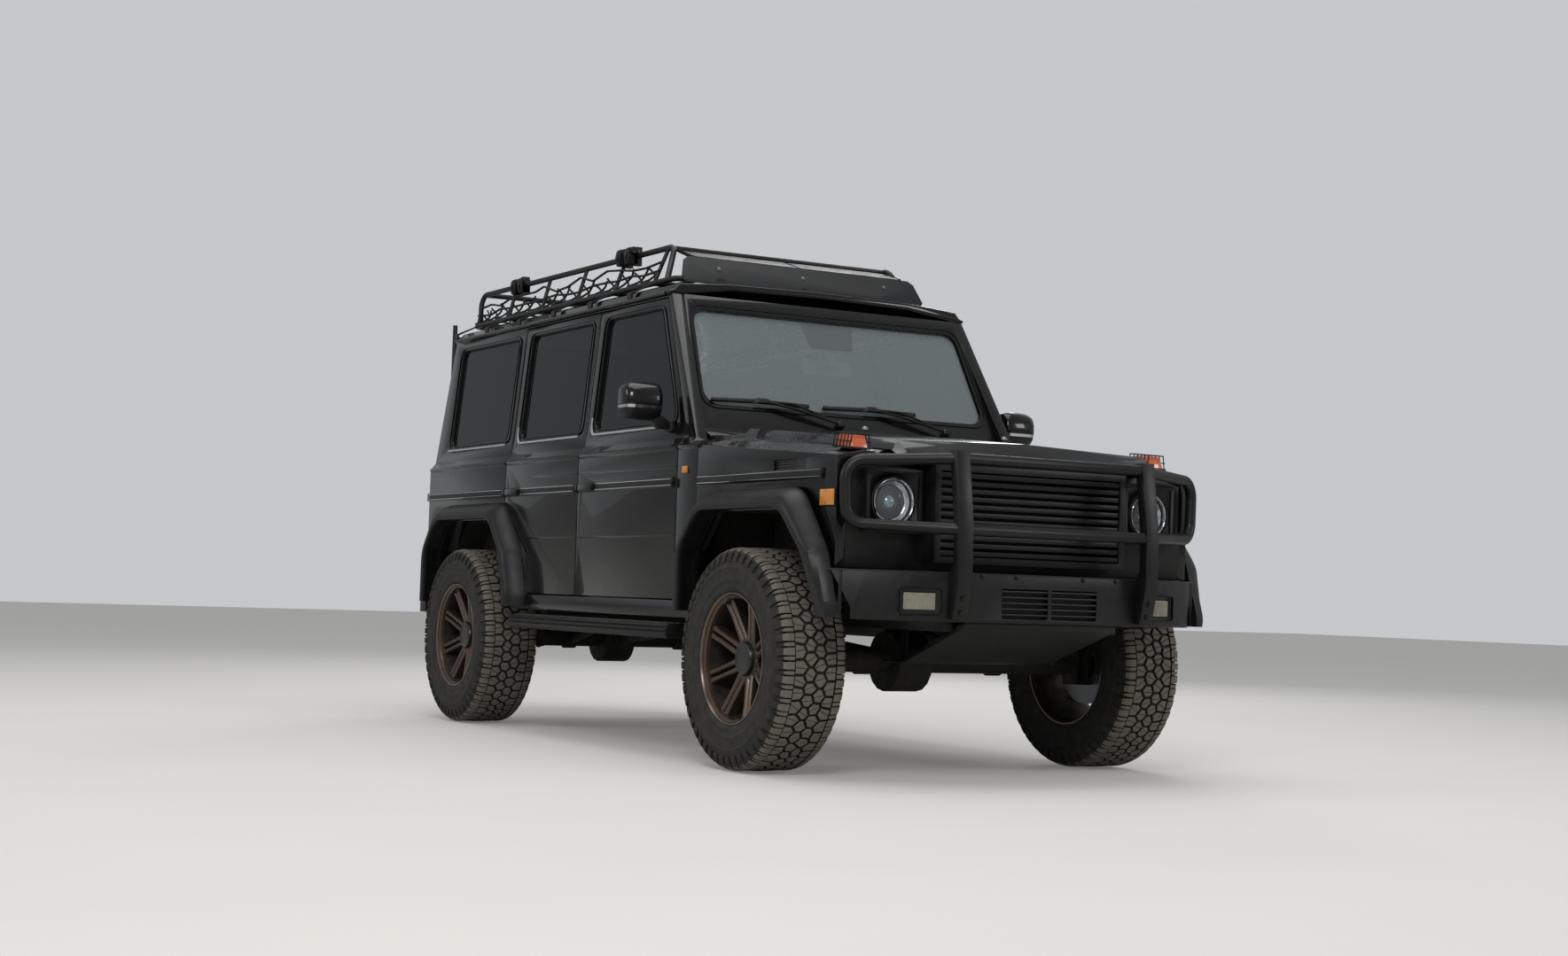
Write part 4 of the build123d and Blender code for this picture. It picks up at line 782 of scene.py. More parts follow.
@dataclass
class Studio:
    """Camera at the photograph's angle, soft lights and a pale floor."""

    eye: Point3 = (FRONT_X + 7.279, -4.796, 0.665)
    yaw: float = 150.61
    pitch: float = 3.03
    roll: float = 1.81
    focal_px: float = 2485.0
    image_px: int = 1769

    def build(self) -> None:
        """Make the camera, the lights, the world and the floor."""
        self.camera()
        self.lights()
        self.floor()
        LOG.info("studio: camera, lights and floor")

    def camera(self) -> None:
        """Place the camera as the photograph's was."""
        data = bpy.data.cameras.new("camera")
        data.sensor_width = 36.0
        data.lens = self.focal_px / self.image_px * data.sensor_width
        data.clip_end = 200.0
        yaw, pitch, roll = (math.radians(a) for a in (self.yaw, self.pitch, self.roll))
        ahead = Vector((math.cos(pitch) * math.cos(yaw), math.cos(pitch) * math.sin(yaw), math.sin(pitch)))
        right = Vector((math.sin(yaw), -math.cos(yaw), 0.0))
        up = right.cross(ahead)
        right, up = (
            math.cos(roll) * right + math.sin(roll) * up,
            -math.sin(roll) * right + math.cos(roll) * up,
        )
        turn = Matrix((right, up, -ahead)).transposed().to_4x4()
        camera = bpy.data.objects.new("camera", data)
        camera.matrix_world = Matrix.Translation(self.eye) @ turn
        bpy.context.scene.collection.objects.link(camera)
        bpy.context.scene.camera = camera

    def lights(self) -> None:
        """Soft overhead light with a key from the front and a fill."""
        table = (
            # name, place, aimed at, size, power
            ("sky", (0.5, -0.5, 7.5), (0.0, 0.0, 0.5), 6.0, 260.0),
            ("key", (7.5, -5.0, 5.5), (0.8, 0.0, 0.9), 2.5, 260.0),
            ("side", (-2.0, -9.0, 4.5), (-0.4, 0.0, 0.8), 2.0, 110.0),
            ("rear", (-6.5, 5.0, 5.0), (-0.8, 0.0, 1.2), 3.0, 170.0),
            ("front_left", (7.0, 5.5, 3.6), (1.5, 0.0, 0.8), 2.0, 90.0),
        )
        for name, place, aim, size, power in table:
            data = bpy.data.lights.new(name, "AREA")
            data.size = size
            data.energy = power
            lamp = bpy.data.objects.new(name, data)
            lamp.location = place
            lamp.rotation_euler = (Vector(aim) - Vector(place)).to_track_quat("-Z", "Y").to_euler()
            bpy.context.scene.collection.objects.link(lamp)
        world = bpy.data.worlds.new("soft_world")
        world.use_nodes = True
        background = next(n for n in world.node_tree.nodes if n.type == "BACKGROUND")
        background.inputs[0].default_value = linear("DADDE0")
        seen = add_node(world.node_tree, "ShaderNodeLightPath", {}, {}).outputs["Is Camera Ray"]
        strength = add_node(world.node_tree, "ShaderNodeMapRange", {3: 0.50, 4: 0.80}, {0: seen}).outputs[0]
        world.node_tree.links.new(strength, background.inputs[1])
        bpy.context.scene.world = world
        bpy.context.scene.view_settings.view_transform = "Standard"

    def floor(self) -> None:
        """Plain pale floor under the wheels."""
        bm = bmesh.new()
        bmesh.ops.create_grid(bm, x_segments=1, y_segments=1, size=40.0)
        mesh = bpy.data.meshes.new("floor")
        bm.to_mesh(mesh)
        bm.free()
        paint = Finish("pale_studio_floor", "", "C9C7C2", 0.85, mottle=0.03, mottle_mm=900).build()
        tree = paint.node_tree
        shader = next(n for n in tree.nodes if n.type == "BSDF_PRINCIPLED")
        shader.inputs["Emission Color"].default_value = linear("C9C7C2")
        seen = add_node(tree, "ShaderNodeLightPath", {}, {}).outputs["Is Camera Ray"]
        glow = add_node(tree, "ShaderNodeMath", {"operation": "MULTIPLY", 1: 0.22}, {0: seen}).outputs[0]
        tree.links.new(glow, shader.inputs["Emission Strength"])
        mesh.materials.append(paint)
        floor = bpy.data.objects.new("floor", mesh)
        bpy.context.scene.collection.objects.link(floor)


@dataclass
class Panels:
    """CAD panels copied with rounded edges, so that the light runs along them."""

    nodes: dict[str, bpy.types.Object]
    bodies: dict[str, str]
    slots: dict[str, str]
    # finish, edge radius in metres, nodes
    table: tuple[tuple[Finish, float, tuple[str, ...]], ...] = (
        (PAINT, 0.004, ("body_sides",)),
        (PAINT, 0.006, ("roof_panel",)),
        (PAINT, 0.010, ("windscreen_frame", "front_wings", "bonnet")),
        (PAINT, 0.004, ("door_front_right", "door_front_left", "door_rear_right", "door_rear_left")),
        (PAINT, 0.006, ("rear_door",)),
        (TRIM, 0.010, ("front_bumper", "rear_bumper")),
        (TRIM, 0.008, ("running_boards",)),
        (TRIM, 0.004, ("grille",)),
        (COAT, 0.004, ("skid_plate",)),
        (COAT, 0.003, ("brush_guard",)),
        (COAT, 0.0, ("roof_rack", "ladder")),
        (SHEET, 0.0015, ("wind_deflector",)),
        (STEEL, 0.004, ("exhaust",)),
        (CAST, 0.006, ("front_axle", "rear_axle")),
        (CABIN, 0.015, ("dashboard",)),
        (CAST, 0.008, ("powertrain",)),
        (UNDER, 0.004, ("chassis_rails",)),
        (UNDER, 0.015, ("fuel_tank",)),
    )
    plain: tuple[tuple[Finish, tuple[str, ...]], ...] = (
        (UNDER, ("cross_members", "floor_pan", "wheel_housings", "bulkhead", "suspension")),
        (CAST, ("knuckle_right", "knuckle_left")),
        (CHROME, ("lamp_units",)),
        (LENS, ("lamp_lenses",)),
        (AMBER, ("signal_lamps",)),
        (RED, ("rear_lamps",)),
        (TRIM, ("wipers",)),
        (TINT, ("fixed_glass", "rear_glass")),
        (LEATHER, ("steering_wheel", "seats")),
    )

    def build(self) -> None:
        """Dress every CAD node that stays and replace those that get rounded edges."""
        for name, node in self.nodes.items():
            finish = self.finish_of(name)
            node.data.materials.clear()
            node.data.materials.append(finish.build())
        for finish, radius, names in self.table:
            for name in names:
                bm = Shop.merged_copy(self.nodes[name])
                if radius:
                    Shop.round_edges(bm, radius)
                ways = {"slot": self.slots[name], "smooth": 35, "recalc": False, "lift": 0}
                Shop.finish(bm, name + "_shell", self.bodies[name], finish, (name,), **ways)

    def finish_of(self, name: str) -> Finish:
        """Choose the finish of a CAD node.

        Args:
            name: Name of the node.

        Returns:
            Its finish.
        """
        for finish, names in self.plain:
            if name in names:
                return finish
        if name.startswith("glass_"):
            return TINT
        if "tyre" in name:
            return TYRE
        if "rim" in name:
            return BRONZE
        return PAINT


@dataclass
class Wheels:
    """All-terrain tyres, split-spoke rims, brakes and the spare wheel, drawn round the origin along +y."""

    tread_base: float = 0.4050
    tread_top: float = 0.4182
    crown_limit: float = 0.084
    wrap: float = 0.420
    pitches: int = 50
    rows: tuple[float, ...] = (-0.063, -0.021, 0.021, 0.063)
    groove: float = 0.0052
    slit: float = 0.0009
    crown_drop: float = 0.0028
    block_edge: float = 0.0022
    lug_edge: float = 0.0018
    spokes: int = 8
    seed: int = 11
    # carcass section from the crown to the bead, as (along, radius)
    section: tuple[Point2, ...] = (
        (0.0, 0.4065), (0.045, 0.4065), (0.080, 0.4050), (0.104, 0.4010), (0.121, 0.3930),
        (0.131, 0.3800), (0.1375, 0.3600), (0.1395, 0.3450), (0.1412, 0.3430), (0.1412, 0.3400),
        (0.1398, 0.3380), (0.1392, 0.3200), (0.1370, 0.2960), (0.1375, 0.2935), (0.1362, 0.2910),
        (0.1335, 0.2720), (0.1345, 0.2660), (0.1330, 0.2600), (0.1275, 0.2510), (0.1228, 0.2485),
        (0.1215, 0.2380), (0.1090, 0.2380), (0.1180, 0.2620), (0.1260, 0.3000), (0.1260, 0.3500),
        (0.1100, 0.3850), (0.0700, 0.3940),
    )
    barrel: tuple[Point2, ...] = (
        (0.1222, 0.2372), (0.1222, 0.2478), (0.1286, 0.2480), (0.1300, 0.2465), (0.1300, 0.2428),
        (0.1268, 0.2405), (0.1200, 0.2370), (0.1130, 0.2290), (0.0980, 0.2262), (0.0300, 0.2236),
        (-0.0900, 0.2225), (-0.1180, 0.2300), (-0.1286, 0.2400), (-0.1286, 0.2478),
        (-0.1222, 0.2478), (-0.1222, 0.2372), (-0.1000, 0.2345), (0.0300, 0.2330), (0.1000, 0.2345),
    )
    # sections of the lugs that run over the shoulder
    long_lug: tuple[Point2, ...] = (
        (0.0885, 0.4020), (0.0885, 0.4172), (0.1040, 0.4165), (0.1180, 0.4125), (0.1310, 0.4020),
        (0.1385, 0.3880), (0.1418, 0.3720), (0.1405, 0.3640), (0.1300, 0.3640),
    )
    short_lug: tuple[Point2, ...] = (
        (0.0885, 0.4020), (0.0885, 0.4172), (0.1040, 0.4165), (0.1170, 0.4120), (0.1280, 0.4025),
        (0.1335, 0.3950), (0.1250, 0.3880),
    )
    hub: tuple[Point2, ...] = (
        (0.0180, 0.0340), (0.0180, 0.0780), (0.0420, 0.0840), (0.0580, 0.0820), (0.0640, 0.0760),
        (0.0640, 0.0690), (0.0520, 0.0660), (0.0520, 0.0340),
    )
    cover: tuple[Point2, ...] = (
        (0.0515, 0.0), (0.0515, 0.0655), (0.0700, 0.0645), (0.0780, 0.0600), (0.0815, 0.0510),
        (0.0815, 0.0430), (0.0795, 0.0410), (0.0805, 0.0),
    )
    # half a split spoke from hub to rim: radius, angle in degrees, half width, front, back
    spoke: tuple[tuple[float, ...], ...] = (
        (0.062, 14.5, 0.0130, 0.0600, 0.0210),
        (0.118, 7.6, 0.0105, 0.0740, 0.0330),
        (0.175, 4.9, 0.0095, 0.0880, 0.0470),
        (0.2245, 4.2, 0.0115, 0.1020, 0.0600),
    )

    def build(self) -> None:
        """Make one tyre and one rim, and place them at the five wheels."""
        tyre, rim, cap = self.tyre(), self.rim(), self.cap()
        places = [
            (
                f"{end}_{name}", f"{end}_{name}_wheel", (x, side * TRACK, HUB_Z),
                0.0 if side > 0 else math.pi, turn
            )
            for end, x in (("front", FRONT_X), ("rear", REAR_X))
            for side, name, turn in ((-1, "right", 0.35), (1, "left", 0.1))
        ]
        places.append(("spare", Body.TAIL.value, (-2.221, 0.030, 1.090), math.pi / 2, 0.2))
        for place, body, centre, facing, turn in places:
            matrix = (
                Matrix.Translation(centre) @ Matrix.Rotation(facing, 4, "Z") @ Matrix.Rotation(turn, 4, "Y")
            )
            nodes = ("spare_tyre", "spare_rim") if place == "spare" else (f"tyre_{place}", f"rim_{place}")
            self.put(tyre, matrix, f"{place}_mud_tyre", body, (TYRE, TREAD), (nodes[0],))
            self.put(rim, matrix, f"{place}_alloy_rim", body, (BRONZE, LIP_HIGHLIGHT, SHADOW), (nodes[1],))
            self.put(cap, matrix, f"{place}_hub_cap", body, (CAP,))
            if place != "spare":
                self.brake(place, body, centre, facing)
        for source in (tyre, rim, cap):
            source.free()

    @staticmethod
    def put(
        source: bmesh.types.BMesh,
        matrix: Matrix,
        name: str,
        body: str,
        finishes: Sequence[Finish],
        nodes: Sequence[str] = (),
    ) -> None:
        """Copy a wheel piece to its place.

        Args:
            source: Mesh drawn round the origin.
            matrix: Place of the wheel.
            name: Piece name.
            body: Body of the wheel.
            finishes: Main finish, then those of the faces that have an index.
            nodes: CAD nodes that the piece replaces.
        """
        piece = source.copy()
        bmesh.ops.transform(piece, matrix=matrix, verts=piece.verts)
        Shop.finish(piece, name, body, finishes[0], nodes, smooth=32, more=finishes[1:])

    def tyre(self) -> bmesh.types.BMesh:
        """Make the carcass with its raised rings, centre blocks and shoulder lugs.

        Returns:
            The tyre.
        """
        bm = bmesh.new()
        outer = list(self.section)
        inner = [(-a, r) for a, r in reversed(outer[1:])]
        Shop.lathe(bm, outer + inner, 112)
        tread = self.blocks()
        Shop.join(tread, self.lugs())
        for vert in tread.verts:
            angle, radius = vert.co.x / self.wrap, vert.co.z
            vert.co = (radius * math.sin(angle), vert.co.y, radius * math.cos(angle))
        tread.normal_update()
        Shop.join(bm, tread)
        for face in bm.faces:
            middle = face.calc_center_median()
            radius = math.hypot(middle.x, middle.z)
            outward = (face.normal.x * middle.x + face.normal.z * middle.z) / radius
            face.material_index = int(outward > 0.55 and radius > self.tread_top - 0.012)
        return bm

    def blocks(self) -> bmesh.types.BMesh:
        """Make the interlocking centre blocks, laid flat: x along the tread, y across, z the radius.

        Returns:
            The blocks.
        """
        rng = random.Random(self.seed)
        pitch = 2 * math.pi * self.wrap / self.pitches
        centres = []
        for row, across in enumerate(self.rows):
            for k in range(self.pitches):
                along = (k + 0.5 * (row % 2)) * pitch + rng.uniform(-0.16, 0.16) * pitch
                centres.append(Vector((along, across + rng.uniform(-0.007, 0.007), 0)))
        length = pitch * self.pitches
        bm = bmesh.new()
        for k, centre in enumerate(centres):
            block = bmesh.new()
            reach = pitch * 0.95
            corners = [(-reach, -self.crown_limit), (reach, -self.crown_limit)]
            corners += [(reach, self.crown_limit), (-reach, self.crown_limit)]
            block.faces.new([block.verts.new((centre.x + u, v, self.tread_base)) for u, v in corners])
            for other in centres:
                apart = Vector(
                    ((other.x - centre.x + length / 2) % length - length / 2, other.y - centre.y, 0)
                )
                if 1e-6 < apart.length < 2.1 * pitch:
                    self.cut(block, centre + apart / 2, apart.normalized(), self.groove)
            self.sipe(block, centre, rng)
            for face in list(block.faces):
                made = bmesh.ops.extrude_face_region(block, geom=[face])["geom"]
                top = [g for g in made if isinstance(g, bmesh.types.BMVert)]
                bmesh.ops.translate(block, verts=top, vec=(0, 0, self.tread_top - self.tread_base))
            bmesh.ops.recalc_face_normals(block, faces=block.faces)
            rim = [e for e in block.edges if all(abs(v.co.z - self.tread_top) < 1e-6 for v in e.verts)]
            Shop.bevel(block, rim, self.block_edge, 1)
            for vert in block.verts:
                vert.co.z -= self.crown_drop * (abs(vert.co.y) / self.crown_limit) ** 2
            Shop.join(bm, block)
        return bm

    @staticmethod
    def cut(block: bmesh.types.BMesh, place: Vector, normal: Vector, back: float) -> None:
        """Trim a flat block on one side of a line.

        Args:
            block: The flat block.
            place: Point on the line.
            normal: Direction of the side that goes.
            back: How far the line is moved back.
        """
        point = Vector((place.x, place.y, 0)) - normal * back
        geom = list(block.verts) + list(block.edges) + list(block.faces)
        bmesh.ops.bisect_plane(block, geom=geom, plane_co=point, plane_no=normal, clear_outer=True)

    def sipe(self, block: bmesh.types.BMesh, centre: Vector, rng: random.Random) -> None:
        """Split a flat block by a thin slit.

        Args:
            block: The flat block.
            centre: Its middle.
            rng: Source of the slit's lean.
        """
        lean = rng.uniform(-0.6, 0.6)
        normal = Vector((math.cos(lean), math.sin(lean), 0))
        other = block.copy()
        self.cut(block, centre, normal, self.slit)
        self.cut(other, centre, -normal, self.slit)
        Shop.join(block, other)

    def lugs(self) -> bmesh.types.BMesh:
        """Make the shoulder lugs that run over the edge, long and short in turn, laid flat.

        Returns:
            The lugs.
        """
        rng = random.Random(self.seed + 1)
        pitch = 2 * math.pi * self.wrap / self.pitches
        bm = bmesh.new()
        for side in (-1, 1):
            for k in range(self.pitches):
                for profile, start, end in ((self.long_lug, 0.03, 0.57), (self.short_lug, 0.67, 0.93)):
                    shift = rng.uniform(-0.02, 0.02)
                    ahead = 0.25 if side > 0 else 0
                    low, high = ((k + edge + shift + ahead) * pitch for edge in (start, end))
                    lug = bmesh.new()
                    Shop.slab(lug, [(low, side * v, r) for v, r in profile], (high - low, 0, 0))
                    bmesh.ops.recalc_face_normals(lug, faces=lug.faces)
                    edges = [e for e in lug.edges if all(v.co.z > 0.3875 for v in e.verts)]
                    Shop.bevel(lug, edges, self.lug_edge, 1)
                    Shop.join(bm, lug)
        return bm

    def rim(self) -> bmesh.types.BMesh:
        """Make the barrel with its lip, eight split spokes, hub and valve.

        Returns:
            The rim.
        """
        bm = bmesh.new()
        Shop.lathe(bm, self.barrel, 96)
        # Outer lip faces take the lighter bronze as a painted highlight, deep barrel faces the dark bronze as
        # painted shade
        for face in bm.faces:
            middle = face.calc_center_median()
            radius = math.hypot(middle.x, middle.z)
            if middle.y > 0.1225 and radius > 0.2402:
                face.material_index = 1
            elif radius < 0.2345 and middle.y < 0.090:
                face.material_index = 2
        for k in range(self.spokes):
            for side in (-1, 1):
                Shop.join(bm, self.blade(side), Matrix.Rotation(k * 2 * math.pi / self.spokes, 4, "Y"))
        Shop.lathe(bm, self.hub, 48)
        Shop.bar(bm, [(0.0, 0.086, 0.214), (0.0, 0.104, 0.218), (0.0, 0.122, 0.219)], 0.0045, sides=8)
        return bm

    def blade(self, side: int) -> bmesh.types.BMesh:
        """Make one half of a split spoke, pointing up: from the hub out to the rim, leaning to its twin.

        Args:
            side: -1 or 1, the half of the spoke.

        Returns:
            The half spoke.
        """
        blade = bmesh.new()
        rings = []
        for radius, angle, half, front, back in self.spoke:
            middle = side * math.radians(angle)
            chamfered = ((half, front - 0.006), (half - 0.004, front))
            mirrored = ((-half + 0.004, front), (-half, front - 0.006))
            ring = []
            for across, along in ((-half, back), (half, back), *chamfered, *mirrored):
                x = radius * math.sin(middle) + across * math.cos(middle)
                z = radius * math.cos(middle) - across * math.sin(middle)
                ring.append((x, along, z))
            rings.append(ring)
        Shop.loft(blade, rings)
        bmesh.ops.recalc_face_normals(blade, faces=blade.faces)
        return blade

    def cap(self) -> bmesh.types.BMesh:
        """Make the plain dark hub cap.

        Returns:
            The cap.
        """
        bm = bmesh.new()
        Shop.lathe(bm, self.cover, 56)
        return bm

    def brake(self, place: str, body: str, centre: Point3, facing: float) -> None:
        """Vented disc on the wheel, and its caliper on the knuckle or axle.

        Args:
            place: Wheel name.
            body: Body of the wheel.
            centre: Middle of the wheel.
            facing: Turn of the wheel about the vertical.
        """
        matrix = Matrix.Translation(centre) @ Matrix.Rotation(facing, 4, "Z")
        disc = bmesh.new()
        for low, high in ((-0.0265, -0.0215), (-0.0175, -0.0125)):
            Shop.lathe(disc, [(low, 0.078), (low, 0.163), (high, 0.163), (high, 0.078)], 64)
        for k in range(36):
            angle = k * math.pi / 18
            vane = bmesh.new()
            Shop.box(vane, (-0.002, -0.0216, 0.085), (0.002, -0.0174, 0.160))
            Shop.join(disc, vane, Matrix.Rotation(angle, 4, "Y"))
        Shop.lathe(disc, [(-0.0200, 0.060), (-0.0200, 0.080), (0.0100, 0.080), (0.0100, 0.060)], 48)
        bmesh.ops.transform(disc, matrix=matrix, verts=disc.verts)
        Shop.finish(disc, f"{place}_brake_disc", body, ZINC, smooth=35, slot="cast_metal")
        caliper = bmesh.new()
        front = place.startswith("front")
        ahead = -1 if (centre[1] < 0) == front else 1
        for low, high, near, far in (
            (-0.046, -0.0320, 0.112, 0.186),
            (-0.0070, 0.0060, 0.112, 0.186),
            (-0.046, 0.0060, 0.1700, 0.188),
        ):
            points = []
            for along in (low, high):
                for radius in (near, far):
                    for angle in (-0.42, -0.14, 0.14, 0.42):
                        spot = (ahead * radius * math.cos(angle), along, radius * math.sin(angle) + 0.012)
                        points.append(spot)
            Shop.hull(caliper, points, 0.003)
        bmesh.ops.transform(caliper, matrix=matrix, verts=caliper.verts)
        carrier = ("right_knuckle" if centre[1] < 0 else "left_knuckle") if front else Body.VEHICLE
        Shop.finish(caliper, f"{place}_brake_caliper", carrier, CAST, smooth=35)


@dataclass
class Glazing:
    """Window rubbers, the grey sill strips, the windscreen with its sensor housing, and the panes."""

    low: float = 1.332
    top: float = 1.822
    corner: float = 0.042
    rubber: float = 0.027
    strip: float = 0.011
    overlap: float = 0.014

    def build(self, nodes: dict[str, bpy.types.Object]) -> None:
        """Make the rubbers, strips and panes of every window.

        Args:
            nodes: CAD nodes by name.
        """
        run = 0.55 * (self.top - self.low)
        windows = (
            ("front_door", "_front_door", DOOR_X - 0.072, SPLIT_X + 0.075, run),
            ("rear_door", "_rear_door", SPLIT_X - 0.062, DOOR_REAR_X + 0.075, 0.0),
            ("quarter", "", DOOR_REAR_X - 0.070, TAIL_X + 0.190, 0.0),
        )
        for side, name in SIDES:
            for window, body, front, rear, lean in windows:
                rides = name + body if body else Body.VEHICLE.value
                self.side_window(side, f"{name}_{window}", rides, (front, rear, lean))
        self.panes(nodes)
        self.windscreen()
        self.rear_window()

    def side_window(self, side: int, name: str, body: str, span: tuple[float, float, float]) -> None:
        """Rubber ring and grey sill strip of one side window.

        Args:
            side: -1 right, 1 left.
            name: Name of the window.
            body: Body it rides on.
            span: Front edge, rear edge and how far the front edge leans back.
        """
        front, rear, lean = span

        def place(u: float, v: float, depth: float) -> Point3:
            """Put an (x, z, depth) point onto the cabin's side."""
            return u, side * (side_y(v) + depth), v

        edge = self.overlap
        corners = [
            (front + edge + 0.006, self.low - edge),
            (front - lean + edge, self.top + edge),
            (rear - edge, self.top + edge),
            (rear - edge, self.low - edge),
        ]
        outline = rounded_outline(corners, self.corner + edge, 7)
        rubber = Shop.ring(outline, self.rubber, 0.018, 0.003, -0.0135)
        Shop.finish(Shop.lay(rubber, place), f"{name}_window_rubber", body, SEAL, smooth=50)
        inner = [
            (front + 0.003, self.low - 0.003),
            (front - lean + 0.002, self.top + 0.002),
            (rear - 0.002, self.top + 0.002),
            (rear - 0.002, self.low - 0.003),
        ]
        lip = Shop.ring(rounded_outline(inner, self.corner, 7), 0.009, 0.0055, 0.002, 0.0015)
        Shop.finish(Shop.lay(lip, place), f"{name}_window_lip", body, TRIM, smooth=50)
        strip = bmesh.new()
        low = self.low - 0.021
        path = [(front - 0.030, low), (rear - 0.012, low)]
        if not name.endswith("quarter"):
            path = [(front - 0.030, low), (rear - 0.019, low), (rear - 0.019, low + 0.075)]
        route = rounded_route([(u, v, 0) for u, v in path], 0.040)
        for first, second in zip(route, route[1:]):
            along = (second - first).normalized()
            across = Vector((-along.y, along.x, 0)) * self.strip / 2
            points = []
            for spot in (first - along * 0.0005, second + along * 0.0005):
                for shift in (-1, 1):
                    for depth in (0.0, 0.0070):
                        edge_spot = spot + across * shift * (1.0 if depth == 0 else 0.72)
                        points.append(place(edge_spot.x, edge_spot.y, depth))
            Shop.hull(strip, points)
        Shop.finish(strip, f"{name}_sill_strip", body, GREY_STRIP, smooth=50)

    def panes(self, nodes: dict[str, bpy.types.Object]) -> None:
        """Copy the clear windscreen and the dark quarter panes from the CAD glass.

        Args:
            nodes: CAD nodes by name.
        """
        # The windscreen's pale colour is a painted reflection of the sky
        for name, finish, front in (("windscreen_pane", SCREEN, True), ("quarter_panes", TINT, False)):
            bm = Shop.merged_copy(nodes["fixed_glass"])
            away = [v for v in bm.verts if (v.co.x > 0.3) != front]
            bmesh.ops.delete(bm, geom=away, context="VERTS")
            Shop.finish(bm, name, Body.VEHICLE, finish, ("fixed_glass",), recalc=False, lift=0)

    @staticmethod
    def screen_place(u: float, v: float, depth: float) -> Point3:
        """Put a (y, z, depth) point onto the windscreen's plane, depth forward of the frame's face."""
        face = (FRONT_X - 0.600) - (v - 1.2383) * 0.52
        return face + depth * 0.887, u, v + depth * 0.461

    def windscreen(self) -> None:
        """Double rubber of the windscreen, the sensor housing and the mirror behind it."""
        corners = [(-0.690, 1.404), (-0.655, 1.818), (0.655, 1.818), (0.690, 1.404)]
        wide = [(y + math.copysign(0.016, y), z + (0.016 if z > 1.6 else -0.016)) for y, z in corners]
        seal = Shop.ring(rounded_outline(wide, 0.070, 8), 0.030, 0.016, 0.004, -0.0125)
        Shop.finish(Shop.lay(seal, self.screen_place), "windscreen_rubber", Body.VEHICLE, SEAL, smooth=50)
        tight = [(y - math.copysign(0.004, y), z + (-0.004 if z > 1.6 else 0.004)) for y, z in corners]
        band = Shop.ring(rounded_outline(tight, 0.060, 8), 0.013, 0.006, 0.002, -0.0128)
        Shop.finish(
            Shop.lay(band, self.screen_place), "windscreen_inner_lip", Body.VEHICLE, TRIM, smooth=50
        )
        housing = bmesh.new()
        outline = [(-0.125, 1.800), (-0.100, 1.705), (0.100, 1.705), (0.125, 1.800)]
        Shop.join(housing, Shop.sheet(rounded_outline(outline, 0.012, 4), 0.012, 0.0, -0.036))
        frit = [(-0.128, 1.812), (-0.104, 1.703), (0.104, 1.703), (0.128, 1.812)]
        Shop.join(housing, Shop.sheet(rounded_outline(frit, 0.014, 4), 0.0008, 0.0, -0.0137))
        stem = [(-0.026, 1.720), (-0.018, 1.640), (0.018, 1.640), (0.026, 1.720)]
        Shop.join(housing, Shop.sheet(rounded_outline(stem, 0.01), 0.03, 0, -0.07))
        mirror = [(-0.118, 1.692), (-0.128, 1.622), (0.128, 1.622), (0.118, 1.692)]
        Shop.join(housing, Shop.sheet(rounded_outline(mirror, 0.024, 5), 0.022, 0.005, -0.105))
        Shop.finish(Shop.lay(housing, self.screen_place), "sensor_housing_and_mirror", Body.VEHICLE, CABIN)

    def rear_window(self) -> None:
        """Rubber of the rear door's window."""

        def place(u: float, v: float, depth: float) -> Point3:
            """Put a (y, z, depth) point onto the rear door's face."""
            lean = max(0.0, (v - BELT_Z) * 0.080 / (GUTTER_Z - BELT_Z))
            return TAIL_X + lean - depth, u, v

        corners = [(-0.534, 1.296), (-0.512, 1.804), (0.512, 1.804), (0.534, 1.296)]
        rubber = Shop.ring(rounded_outline(corners, 0.062, 7), 0.024, 0.016, 0.003, -0.0115)
        Shop.finish(Shop.lay(rubber, place), "rear_window_rubber", Body.TAIL, SEAL, smooth=50)


